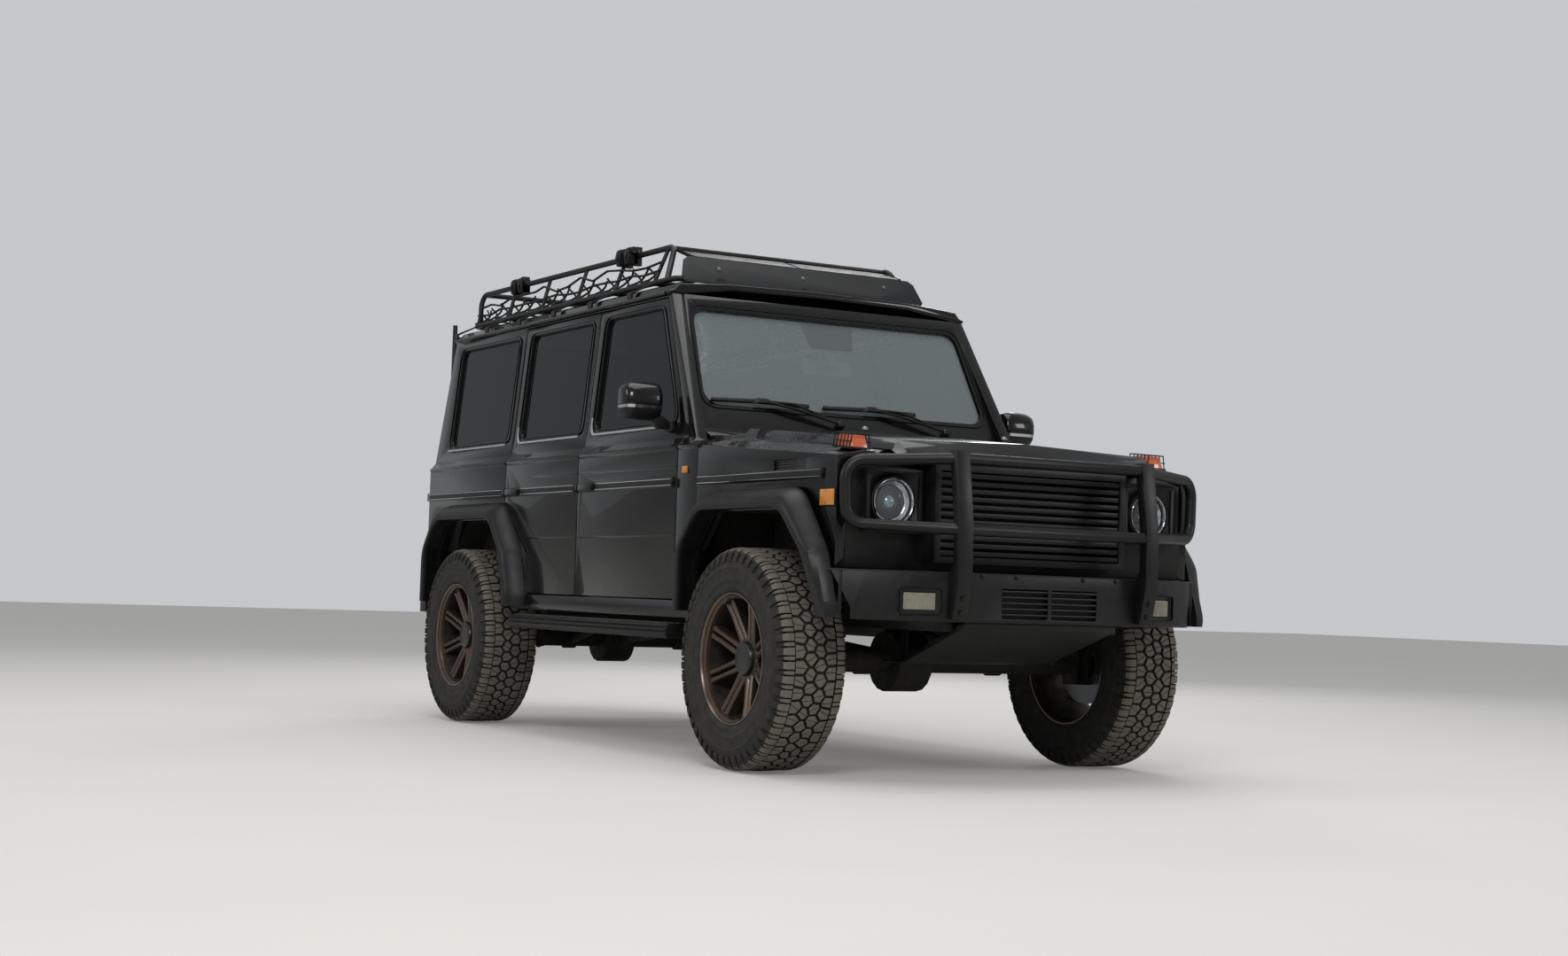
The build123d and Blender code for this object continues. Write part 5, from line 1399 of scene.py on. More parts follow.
@dataclass
class SideTrim:
    """Belt ridges, crease lines, rub strips with bright beads, handles and drip gutters."""

    strip_z: float = 1.076
    strip_half: float = 0.020
    crease_z: float = 0.859
    proud: float = 0.0135

    def build(self) -> None:
        """Dress both sides."""
        spans = (
            # name, body, rear end, front end of the rub strip
            ("quarter", "", TAIL_X + 0.030, DOOR_REAR_X - 0.014),
            ("rear_door", "_rear_door", DOOR_REAR_X + 0.202, SPLIT_X - 0.022),
            ("front_door", "_front_door", SPLIT_X + 0.202, DOOR_X - 0.022),
            ("wing", "", COWL_X + 0.016, FRONT_X + 0.468),
        )
        for side, name in SIDES:
            for part, suffix, rear, front in spans:
                body = name + suffix if suffix else Body.VEHICLE.value
                taper = 0.020 if part == "wing" else 0.0
                self.rub_strip(side, f"{name}_{part}", body, (rear, front), taper)
            ridges = (
                ("quarter", "", TAIL_X + 0.006, DOOR_REAR_X - 0.012),
                ("rear_door", "_rear_door", DOOR_REAR_X + 0.010, SPLIT_X - 0.008),
                ("front_door", "_front_door", SPLIT_X + 0.008, DOOR_X - 0.010),
                ("scuttle", "", DOOR_X + 0.010, COWL_X - 0.004),
            )
            for part, suffix, rear, front in ridges:
                body = name + suffix if suffix else Body.VEHICLE.value
                self.belt_ridge(side, f"{name}_{part}", body, (rear, front))
                if "door" in part:
                    self.crease(side, f"{name}_{part}", body, (rear, front))
            for part, rear in (("front_door", SPLIT_X), ("rear_door", DOOR_REAR_X)):
                self.handle(side, f"{name}_{part}", f"{name}_{part}", rear + 0.006)
            self.gutter(side, name)

    def skin(self, x: float, taper: float) -> float:
        """Find the half width of the skin at a station, where the wing draws in to the front.

        Args:
            x: Station.
            taper: How far the wing draws in at the nose.

        Returns:
            The half width.
        """
        if taper and x > COWL_X:
            return BODY_Y - taper * (x - COWL_X) / (NOSE_X - COWL_X)
        return BODY_Y

    def rub_strip(self, side: int, name: str, body: str, span: Point2, taper: float) -> None:
        """Make one length of rub strip with two thin bright beads along it.

        Args:
            side: -1 right, 1 left.
            name: Name of the stretch.
            body: Body it rides on.
            span: Rear and front end.
            taper: How far the wing draws in at the nose.
        """
        strip, beads = bmesh.new(), bmesh.new()
        section = (
            (self.strip_half, -0.002),
            (self.strip_half, 0.004),
            (self.strip_half * 0.72, self.proud),
            (-self.strip_half * 0.72, self.proud),
            (-self.strip_half, 0.004),
            (-self.strip_half, -0.002),
        )
        rear, front = span
        points = []
        for x in span:
            for rise, out in section:
                y = self.skin(x, taper) + out
                nudge = 0.006 * (out / self.proud) * (1 if x == rear else -1)
                points.append((x + nudge, side * y, self.strip_z + rise))
        Shop.hull(strip, points, 0.0018)
        for rise in (0.0125, -0.0125):
            ends = []
            for x in (rear + 0.006, front - 0.006):
                ends.append((x, side * (self.skin(x, taper) + self.proud + 0.0002), self.strip_z + rise))
            Shop.bar(beads, ends, 0.0017, sides=8)
        Shop.finish(strip, f"{name}_rub_strip", body, TRIM)
        Shop.finish(beads, f"{name}_strip_beads", body, CHROME)

    def belt_ridge(self, side: int, name: str, body: str, span: Point2) -> None:
        """Make one stretch of the pressed ridge along the belt.

        Args:
            side: -1 right, 1 left.
            name: Name of the stretch.
            body: Body it rides on.
            span: Rear and front end.
        """
        bm = bmesh.new()
        points = []
        for x in span:
            for rise, out in ((-0.016, -0.001), (-0.004, 0.0058), (0.004, 0.0052), (0.014, -0.011)):
                points.append((x, side * (BODY_Y + out), BELT_Z - 0.002 + rise))
        Shop.hull(bm, points, 0.0016)
        Shop.finish(bm, f"{name}_belt_ridge", body, PAINT)

    def crease(self, side: int, name: str, body: str, span: Point2) -> None:
        """Make the thin raised line low on a door, where the light catches the pressing.

        Args:
            side: -1 right, 1 left.
            name: Name of the stretch.
            body: Body it rides on.
            span: Rear and front end.
        """
        bm = bmesh.new()
        section = ((-0.006, -0.001), (0.001, 0.0034), (0.005, -0.001))
        points = [(x, side * (BODY_Y + out), self.crease_z + rise) for x in span for rise, out in section]
        Shop.hull(bm, points, 0.0006)
        Shop.finish(bm, f"{name}_crease_line", body, PAINT)

    def handle(self, side: int, name: str, body: str, rear: float) -> None:
        """Make the bright lock button, its dark dish and the pull handle on two feet.

        Args:
            side: -1 right, 1 left.
            name: Name of the door.
            body: Body it rides on.
            rear: Rear end of the dish.
        """
        dark, bright = bmesh.new(), bmesh.new()
        z = self.strip_z
        low, high = sorted(side * y for y in (BODY_Y - 0.001, BODY_Y + 0.006))
        Shop.box(dark, (rear + 0.010, low, z - 0.021), (rear + 0.186, high, z + 0.021), 0.003)
        for x in (rear + 0.056, rear + 0.166):
            spots = [
                (x + dx, side * (BODY_Y + dy), z + dz)
                for dx in (-0.010, 0.010)
                for dy in (0.004, 0.020)
                for dz in (-0.010, 0.010)
            ]
            Shop.hull(dark, spots, 0.003)
        grip = [
            (rear + x, side * (BODY_Y + y), z + dz)
            for x, y in ((0.046, 0.012), (0.052, 0.025), (0.172, 0.025), (0.184, 0.012))
            for dz in (-0.0135, 0.0135)
        ]
        Shop.hull(dark, grip, 0.005, 3)
        low, high = sorted(side * (BODY_Y + y) for y in (0.005, 0.014))
        Shop.box(bright, (rear + 0.015, low, z - 0.013), (rear + 0.034, high, z + 0.013), 0.003)
        Shop.finish(dark, f"{name}_pull_handle", body, TRIM)
        Shop.finish(bright, f"{name}_lock_button", body, CHROME)

    def gutter(self, side: int, name: str) -> None:
        """Make the rolled drip gutter above the doors.

        Args:
            side: -1 right, 1 left.
            name: Name of the side.
        """
        bm = bmesh.new()
        rear, front = TAIL_X + 0.095, FRONT_X - 0.985
        points = [(x, side * (GUTTER_Y + 0.010), GUTTER_Z + 0.004) for x in (rear, front)]
        Shop.bar(bm, points, 0.0085, sides=12)
        Shop.finish(bm, f"{name}_drip_gutter", Body.VEHICLE, PAINT)


@dataclass
class Flares:
    """Wide wheel-arch flares: a rounded shoulder that rolls out and back in to the opening."""

    band: float = 0.066
    skin: float = 0.8145
    # below this height the front flare draws in towards the bumper's end
    tuck_z: float = 0.895
    # name, hub, reach ahead, reach behind, foot of the flare
    arches: tuple[tuple[str, float, float, float, float], ...] = (
        ("front", FRONT_X, 0.535, 0.470, 0.560),
        ("rear", REAR_X, 0.575, 0.480, 0.545),
    )
    # share of the way from the outer outline to the opening, and distance from the middle
    section: tuple[Point2, ...] = (
        (0.00, 0.8145), (0.02, 0.8260), (0.16, 0.8560), (0.34, 0.8830), (0.56, 0.8990),
        (0.80, 0.9040), (0.96, 0.9020), (1.00, 0.8960), (1.00, 0.8800), (0.96, 0.8700),
        (0.80, 0.8250), (0.80, 0.8145),
    )

    def build(self) -> None:
        """Make the four flares as one piece on the body."""
        bm = bmesh.new()
        for _, hub, ahead, behind, foot in self.arches:
            self.flare(bm, hub, ahead, behind, foot)
        Shop.mirror_y(bm)
        Shop.finish(bm, "rolled_wheel_flares", Body.VEHICLE, TRIM, ("wheel_flares",), smooth=45)

    @staticmethod
    def outline(hub: float, ahead: float, behind: float, grow: float, foot: float) -> list[Point2]:
        """Draw an arch as (x, z) points, from its front foot to its rear foot.

        Args:
            hub: Station of the wheel.
            ahead: Reach ahead of the hub.
            behind: Reach behind the hub.
            grow: Distance out from the opening.
            foot: Height of both ends.

        Returns:
            The points.
        """
        return [
            (hub + ahead + grow, foot),
            (hub + ahead + grow, 0.600),
            (hub + ahead - 0.070 + grow, 0.800),
            (hub + ahead - 0.210 + 0.4 * grow, 0.950 + grow),
            (hub - behind + 0.140 - 0.4 * grow, 0.950 + grow),
            (hub - behind - grow, 0.800),
            (hub - behind - grow, foot),
        ]

    def flare(self, bm: bmesh.types.BMesh, hub: float, ahead: float, behind: float, foot: float) -> None:
        """Loft one right-hand flare along its arch.

        Args:
            bm: The mesh to add to.
            hub: Station of the wheel.
            ahead: Reach ahead of the hub.
            behind: Reach behind the hub.
            foot: Height of both ends.
        """
        outer = self.outline(hub, ahead, behind, self.band + 0.014, foot)
        inner = self.outline(hub, ahead, behind, 0.0, foot)
        tracks = []
        for line in (outer, inner):
            route = [Vector((x, 0, z)) for x, z in line]
            tracks.append(rounded_route(route, 0.150, 7))
        rings = []
        front = max(x for x, _ in outer)
        for out_point, in_point in zip(*tracks):
            ring = []
            for share, reach in self.section:
                spot = out_point.lerp(in_point, share)
                if hub > 0 and spot.x > front - 0.45 and spot.z <= self.tuck_z:
                    reach = max(self.skin, min(reach, 0.850 + (spot.z - 0.540) * 0.153))
                ring.append((spot.x, -reach, spot.z))
            rings.append(ring)
        Shop.loft(bm, rings)


@dataclass
class Nose:
    """Headlamps, fog lamps, caged signals, bolts, bumper lip, radiator and washer nozzles."""

    lamp_y: float = 0.578
    lamp_z: float = 0.981
    recess_half: float = 0.1125
    # half sizes of the fog lamp's frame, housing and glass
    fog_frame: Point2 = (0.074, 0.046)
    fog_housing: Point2 = (0.059, 0.036)
    fog_glass: Point2 = (0.0575, 0.0300)
    marker_y: float = -0.7962
    # sections of the headlamp's parts as (along, radius)
    ring: tuple[Point2, ...] = (
        (0.016, 0.0765), (0.033, 0.0770), (0.0405, 0.0800), (0.0415, 0.0825), (0.0390, 0.0850),
        (0.0340, 0.0860), (0.0320, 0.0860), (0.0320, 0.0790), (0.0160, 0.0785),
    )
    bowl: tuple[Point2, ...] = (
        (0.020, 0.0765), (0.008, 0.0680), (-0.001, 0.0560), (-0.007, 0.0430), (-0.010, 0.0330),
        (-0.016, 0.0330), (-0.013, 0.0450), (-0.006, 0.0590), (0.004, 0.0720), (0.016, 0.0784),
    )
    shroud: tuple[Point2, ...] = (
        (
            -0.016, 0.0350
        ), (0.004, 0.0335), (0.008, 0.0310), (0.006, 0.0285), (-0.006, 0.0275), (-0.018, 0.0275),
    )
    ball: tuple[Point2, ...] = (
        (-0.018, 0.0), (-0.018, 0.0278), (-0.002, 0.0274), (0.008, 0.0225), (0.015, 0.0140), (0.018, 0.0),
    )
    lens: tuple[Point2, ...] = (
        (0.017, 0.0768), (0.028, 0.0660), (0.036, 0.0450), (0.040, 0.0200), (0.041, 0.0),
        (0.038, 0.0), (0.037, 0.0200), (0.033, 0.0440), (0.025, 0.0640), (0.014, 0.0768),
    )

    def build(self) -> None:
        """Dress the front of the vehicle."""
        self.headlamps()
        self.recess()
        self.fog_lamps()
        self.signals()
        self.bolts()
        self.bumper_trim()
        self.radiator()
        self.nozzles()

    def headlamps(self) -> None:
        """Chrome ring, faceted bowl, dark shroud, projector and domed lens."""
        # name, section, steps, finish, slot, nodes, sharpest smooth angle
        for part, profile, steps, finish, slot, nodes, smooth in (
            ("ring", self.ring, 64, CHROME, "lamp_bright", ("lamp_units",), 50),
            ("bowl", self.bowl, 22, BOWL, "lamp_bright", ("lamp_units",), 12),
            ("shroud", self.shroud, 40, CABIN, "cabin_plastic", (), 50),
            ("ball", self.ball, 40, PROJECTOR, "lamp_bright", (), 50),
            ("lens", self.lens, 64, LENS, "lamp_glass", ("lamp_lenses",), 50),
        ):
            bm = bmesh.new()
            Shop.lathe(bm, profile, steps, (NOSE_X, -self.lamp_y, self.lamp_z), (1, 0, 0))
            Shop.mirror_y(bm)
            Shop.finish(bm, f"headlamp_{part}", Body.VEHICLE, finish, nodes, slot, smooth=smooth)

    def recess(self) -> None:
        """Black surround of each headlamp, square in front and round at the lamp."""
        bm = bmesh.new()
        steps, rings = 48, []
        for depth, half in ((0.040, self.recess_half), (0.012, 0.0), (0.006, 0.0), (0.006, self.recess_half)):
            ring = []
            for k in range(steps):
                angle = 2 * math.pi * (k + 0.5) / steps
                across, up = math.cos(angle), math.sin(angle)
                reach = min(half / max(abs(across), abs(up)), half * 1.32) if half else 0.0875
                ring.append((NOSE_X + depth, -self.lamp_y + reach * across, self.lamp_z + reach * up))
            rings.append(ring)
        Shop.loft(bm, rings, caps=False)
        Shop.mirror_y(bm)
        Shop.finish(bm, "headlamp_recess", Body.VEHICLE, TRIM, smooth=30)

    @staticmethod
    def fog_place(u: float, v: float, depth: float) -> Point3:
        """Put a point onto the slanted face of the bumper's right fog pocket."""
        return FRONT_X + 0.7285 + u * 0.307 + depth * 0.956, -0.539 + u - depth * 0.293, 0.627 + v

    def fog_lamps(self) -> None:
        """Framed pocket with a ribbed lens and its dark housing."""
        rim = rounded_outline(rectangle(*self.fog_frame), 0.012)
        back = rounded_outline(rectangle(*self.fog_housing), 0.008)
        for name, bm, finish, slot in (
            ("frame", Shop.ring(rim, 0.015, 0.012, 0.003, -0.004), TRIM, "satin_trim"),
            ("housing", Shop.sheet(back, 0.026, 0.0, -0.036), CABIN, "satin_trim"),
            ("lens", self.ribbed_lens(), RIBBED, "lamp_glass"),
        ):
            Shop.lay(bm, self.fog_place)
            Shop.mirror_y(bm)
            Shop.finish(bm, f"fog_lamp_{name}", Body.VEHICLE, finish, slot=slot, smooth=35)

    def ribbed_lens(self) -> bmesh.types.BMesh:
        """Make the pressed glass with its upright ribs.

        Returns:
            The glass, in the pocket's own space.
        """
        bm = Shop.sheet(rounded_outline(rectangle(*self.fog_glass), 0.006), 0.006, 0.0015, -0.011)
        for k in range(19):
            u = -0.0504 + 0.0056 * k
            ridge = ((-0.0025, -0.006), (0.0025, -0.006), (0.0, -0.0035))
            Shop.hull(bm, [(u + du, v, d) for du, d in ridge for v in (-0.026, 0.026)])
        return bm

    def signals(self) -> None:
        """Wing-top lamps under wire cages, side markers and repeaters."""
        body, base, cage = bmesh.new(), bmesh.new(), bmesh.new()
        rear, front, inner, outer = FRONT_X + 0.400, FRONT_X + 0.516, -0.640, -0.712
        rear_z, front_z = 1.179, 1.1675

        def foot(x: float) -> float:
            """Height of the wing under the lamp at a station."""
            return rear_z + (front_z - rear_z) * (x - rear) / (front - rear)

        low = [(x, y, foot(x) + 0.004) for x in (rear, front) for y in (inner, outer)]
        ends, edges = (rear + 0.010, front - 0.014), (inner - 0.008, outer + 0.008)
        high = [(x, y, foot(x) + 0.048) for x in ends for y in edges]
        Shop.hull(body, low + high, 0.006, 3)
        for k in range(8):
            x = rear + 0.018 + 0.0115 * k
            rib = [(x, y, foot(x) + 0.0475) for y in (inner - 0.010, outer + 0.010)]
            Shop.bar(body, rib, 0.0016, sides=8)
        ends, edges = (rear - 0.008, front + 0.008), (inner + 0.008, outer - 0.008)
        sole = [(x, y, foot(x)) for x in ends for y in edges]
        Shop.hull(base, [(x, y, z + dz) for x, y, z in sole for dz in (-0.002, 0.006)], 0.002)
        for k in range(6):
            x = rear + (front - rear) * k / 5
            z, high_z = foot(x), foot(x) + 0.0540
            hoop = [(x - 0.004, inner + 0.008, z), (x, inner - 0.001, high_z)]
            hoop += [(x, outer + 0.001, high_z), (x - 0.004, outer - 0.008, z)]
            Shop.bar(cage, hoop, 0.0023, 0.008, 8)
        for y, rise in (
            (inner - 0.001, 0.0540), (inner - 0.025, 0.0545), (outer + 0.025, 0.0545),
            (outer + 0.001, 0.0540), (inner + 0.005, 0.026), (outer - 0.005, 0.026)
        ):
            rail = [(x + dx, y, foot(x) + rise) for x, dx in ((rear, -0.003), (front, 0.003))]
            Shop.bar(cage, rail, 0.0023, sides=8)
        marker = ((0.458, 0.0), (0.553, 0.0), (0.548, 0.012), (0.463, 0.013))
        spots = [(FRONT_X + x, self.marker_y - dy, z) for x, dy in marker for z in (0.959, 1.017)]
        Shop.hull(body, spots, 0.003)
        repeater = ((0.611, 0.001), (0.571, 0.001), (0.574, 0.0115), (0.608, 0.0115))
        Shop.hull(body, [(FRONT_X - x, -BODY_Y - dy, z) for x, dy in repeater for z in (1.109, 1.137)], 0.003)
        for face in body.faces:
            if face.calc_center_median().y <= -0.72:
                face.material_index = 1
        plate = [(FRONT_X + x, self.marker_y + dy) for x in (0.453, 0.558) for dy in (0.004, -0.004)]
        Shop.hull(base, [(x, y, z) for x, y in plate for z in (0.954, 1.022)], 0.002)
        for z in (0.9665, 1.0095):
            screw = [(0.0, 0.0), (0.0, 0.0030), (0.0125, 0.0030), (0.0130, 0.0)]
            Shop.lathe(base, screw, 12, (FRONT_X + 0.506, self.marker_y, z), (0, -1, 0))
        for bm, name, finish, nodes, more in (
            (body, "signal_lamp_lenses", ORANGE, ("signal_lamps",), (AMBER,)),
            (base, "signal_lamp_bases", TRIM, (), ()),
            (cage, "signal_lamp_cages", COAT, (), ()),
        ):
            Shop.mirror_y(bm)
            Shop.finish(bm, name, Body.VEHICLE, finish, nodes, more=more)

    @staticmethod
    def bolts() -> None:
        """Domed bolts of guard and bumper."""
        bolts = bmesh.new()
        spots = []
        for z in (0.590, 0.640):
            spots.append(((FRONT_X + 0.800 + 0.0335 * (z - 0.566) / 0.134, -0.416, z), (1, 0, -0.24)))
        spots += [((FRONT_X + 0.766, y, 0.722), (1, 0, 0.05)) for y in (-0.300, -0.150)]
        dome = [
            (-0.004, 0.0), (-0.004, 0.0105), (0.001, 0.0105), (0.001, 0.007), (0.0045, 0.0065), (0.006, 0.0)
        ]
        for place, axis in spots:
            Shop.lathe(bolts, dome, 14, place, axis)
        Shop.mirror_y(bolts)
        Shop.finish(bolts, "guard_bolts", Body.VEHICLE, COAT)

    @staticmethod
    def bumper_trim() -> None:
        """Rolled lip along the bumper's top edge, and the seams of its corners."""
        lip = bmesh.new()
        plan = (
            (0.440, 0.8390), (0.558, 0.8390), (0.652, 0.7175), (0.7185, 0.5580), (0.7610, 0.4200),
            (0.7610, 0.0)
        )
        Shop.bar(lip, [(FRONT_X + x, -y, 0.7295) for x, y in plan], 0.0048, 0.02, 10)
        seam = ((-0.004, 0.0), (0.004, -0.008), (0.0, 0.004))
        spots = [(FRONT_X + 0.600 + a, -0.7965 - b, z) for a, b in seam for z in (0.560, 0.728)]
        Shop.hull(lip, spots, 0.0005)
        Shop.mirror_y(lip)
        Shop.finish(lip, "bumper_lip_and_seams", Body.VEHICLE, TRIM)

    @staticmethod
    def radiator() -> None:
        """Finned radiator core behind the grille, and the dark shroud over the bumper."""
        cooler = bmesh.new()
        Shop.box(cooler, (FRONT_X + 0.496, -0.470, 0.700), (FRONT_X + 0.520, 0.470, 1.112), 0.003)
        for k in range(40):
            z = 0.708 + 0.0101 * k
            Shop.box(cooler, (FRONT_X + 0.519, -0.460, z), (FRONT_X + 0.523, 0.460, z + 0.0035))
        Shop.finish(cooler, "radiator_core", Body.VEHICLE, UNDER)
        shroud = bmesh.new()
        plan = [(0.536, 0.768), (0.602, 0.700), (0.652, 0.548), (0.692, 0.405)]
        ends = [(FRONT_X + x, side * y) for x, y in plan for side in (-1, 1)]
        Shop.hull(shroud, [(x, y, z) for x, y in ends for z in (0.716, 0.722)])
        Shop.box(shroud, (FRONT_X + 0.5335, -0.752, 0.716), (FRONT_X + 0.5355, 0.752, 0.746))
        Shop.finish(shroud, "bumper_shroud", Body.VEHICLE, UNDER)

    @staticmethod
    def nozzles() -> None:
        """Washer nozzles on the bonnet."""
        nozzles = bmesh.new()
        dome = [(-0.002, 0.0), (-0.002, 0.013), (0.003, 0.012), (0.008, 0.007), (0.009, 0.0)]
        for y in (0.330, -0.330):
            Shop.lathe(nozzles, dome, 20, (FRONT_X - 0.020, y, 1.2905), (0.16, 0, 1))
        Shop.finish(nozzles, "washer_nozzles", Body.BONNET, ZINC)


@dataclass
class RoofGear:
    """Cargo net, clamp knobs and deflector bolts on the rack, and the wipers' joints."""

    low_z: float = 1.975
    high_z: float = 2.138
    rear: float = TAIL_X + 0.055
    front: float = FRONT_X - 1.330
    seed: int = 5
    bays: int = 15
    lacing: float = 0.0052
    run: float = 0.0056
    lashing: float = 0.0040
    # jaw of a clamp as (across from its middle, height)
    jaw: tuple[Point2, ...] = (
        (-0.030, 2.096), (-0.030, 2.166), (-0.018, 2.174), (0.026, 2.166), (0.026, 2.096)
    )
    # sections of a clamp's knob and of the deflector's bolts as (along, radius)
    knob: tuple[Point2, ...] = (
        (-0.034, 0.0), (-0.034, 0.015), (-0.022, 0.018), (0.020, 0.018), (0.030, 0.014), (0.030, 0.0),
    )
    bolt: tuple[Point2, ...] = (
        (-0.002, 0.0), (-0.002, 0.0085), (0.0015, 0.0085), (0.002, 0.0055), (0.0045, 0.005), (0.0050, 0.0),
    )

    def build(self) -> None:
        """Dress the roof."""
        self.net()
        self.clamps()
        self.deflector()
        self.wipers()

    def net(self) -> None:
        """Slack cords laced between the low and high rails, tails behind and lashings across the bed."""
        rng = random.Random(self.seed)
        cords = bmesh.new()
        step = (self.front - self.rear) / self.bays
        for side in (-1, 1):
            for k in range(self.bays):
                x = self.rear + k * step
                for lean, start in ((1, 0.0), (-1, 1.0)):
                    points = []
                    for i in range(5):
                        t = i / 4
                        sag = math.sin(math.pi * t)
                        y = side * (0.622 - 0.030 * t - 0.020 * sag + rng.uniform(-0.003, 0.003))
                        rise = (self.high_z - self.low_z - 0.028) * t * (0.42 + 0.045 * ((k * 7) % 5))
                        along = (start + lean * t) * step + rng.uniform(-0.006, 0.006)
                        points.append((x + along, y, self.low_z + 0.014 + rise - 0.010 * sag))
                    Shop.bar(cords, points, self.lacing, 0.060, 8)
            for level, drop in ((0.34, 0.012), (0.62, 0.020)):
                points = []
                for k in range(self.bays + 1):
                    y = side * (0.612 - 0.024 * level + rng.uniform(-0.008, 0.008))
                    z = self.low_z + (self.high_z - self.low_z) * level + rng.uniform(-drop, drop)
                    points.append((self.rear + k * step, y, z))
                Shop.bar(cords, points, self.run, 0.060, 8)
        for k in range(9):
            y = -0.560 + 0.140 * k
            points = []
            for z in (0.016, 0.060, 0.095):
                x = self.rear - 0.015 + rng.uniform(-0.004, 0.004)
                points.append((x, y + rng.uniform(-0.03, 0.03), self.low_z + z))
            Shop.bar(cords, points, self.lashing, 0.02, 8)
        for x0 in (self.rear + 0.02, self.rear + 0.5, self.rear + 1.0, self.rear + 1.5):
            for lean in (-1, 1):
                z = self.low_z + 0.024 + 0.006 * lean
                points = []
                for t in (0, 0.25, 0.5, 0.75, 1):
                    points.append((x0 + 0.10 * t + 0.04 * lean * math.sin(4 * t), -0.600 + 1.200 * t, z))
                Shop.bar(cords, points, self.lashing, 0.060, 8)
        Shop.finish(cords, "cargo_net_cords", Body.VEHICLE, CORD, smooth=60)

    def clamps(self) -> None:
        """Jaw halves, straps and knobs of the two pairs of tool clamps on the right rail."""
        bm = bmesh.new()
        for x0 in (FRONT_X - 1.699, FRONT_X - 2.940):
            for dx in (-0.045, 0.045):
                x, y = x0 + dx, -0.585
                Shop.hull(bm, [(x + a, y + b, z) for a in (-0.014, 0.014) for b, z in self.jaw], 0.004)
                Shop.lathe(bm, self.knob, 20, (x, y - 0.001, 2.1585), (1, 0, 0))
                strap = [(x, y - 0.030, 2.105), (x, y - 0.036, 2.130), (x, y - 0.030, 2.160)]
                Shop.bar(bm, strap, 0.006, 0.01, 10)
        Shop.finish(bm, "tool_clamp_jaws", Body.VEHICLE, TRIM, slot="coated_steel")

    def deflector(self) -> None:
        """Small bright bolts with washers across the deflector."""
        bm = bmesh.new()
        for y in (-0.420, 0.0, 0.420):
            z = 2.032
            x = FRONT_X - 1.115 + 0.033 - (z - 1.957) * 0.5167 + 0.0005
            Shop.lathe(bm, self.bolt, 16, (x, y, z), (0.888, 0, 0.459))
        Shop.finish(bm, "deflector_bolts", Body.VEHICLE, ZINC)

    @staticmethod
    def wipers() -> None:
        """Blade spines, rubber edges, joint clumps and doubled arms."""
        bm = bmesh.new()
        place = Glazing.screen_place
        for y in (-0.330, 0.200):
            blade = [(y - 0.330, 1.421, 0.003), (y - 0.100, 1.4255, 0.006), (y + 0.130, 1.421, 0.003)]
            for a, b in zip(blade, blade[1:]):
                for half, low, high in ((0.0065, 0.0, 0.009), (0.0025, -0.0125, 0.001)):
                    edges = [(s * half, e) for s in (-1, 1) for e in (low, high)]
                    Shop.hull(bm, [place(u, v + s, d + e) for u, v, d in (a, b) for s, e in edges], 0.001)
            joint = (y - 0.095, 1.4245, 0.012)
            clump = ((-0.046, -0.004), (-0.020, 0.011), (0.020, 0.011), (0.046, -0.004))
            corners = [(a, b, c) for a, c in clump for b in (-0.010, 0.010)]
            Shop.hull(bm, [place(joint[0] + a, joint[1] + b, joint[2] + c) for a, b, c in corners], 0.003)
            end = (y + 0.260, 1.344, 0.016)
            for shift in (-0.010, 0.010):
                top, root = place(joint[0], joint[1], joint[2] + 0.004), place(end[0], end[1], end[2] + 0.006)
                Shop.bar(bm, [top, place(y + 0.05, 1.405 + shift, 0.026), root], 0.0055, 0.05, 8)
            pivot = [(-0.012, 0.0), (-0.012, 0.019), (0.010, 0.018), (0.016, 0.012), (0.017, 0.0)]
            Shop.lathe(bm, pivot, 24, place(*end), (0.887, 0, 0.461))
        Shop.finish(bm, "wiper_blades_and_arms", Body.VEHICLE, TRIM, ("wipers",))


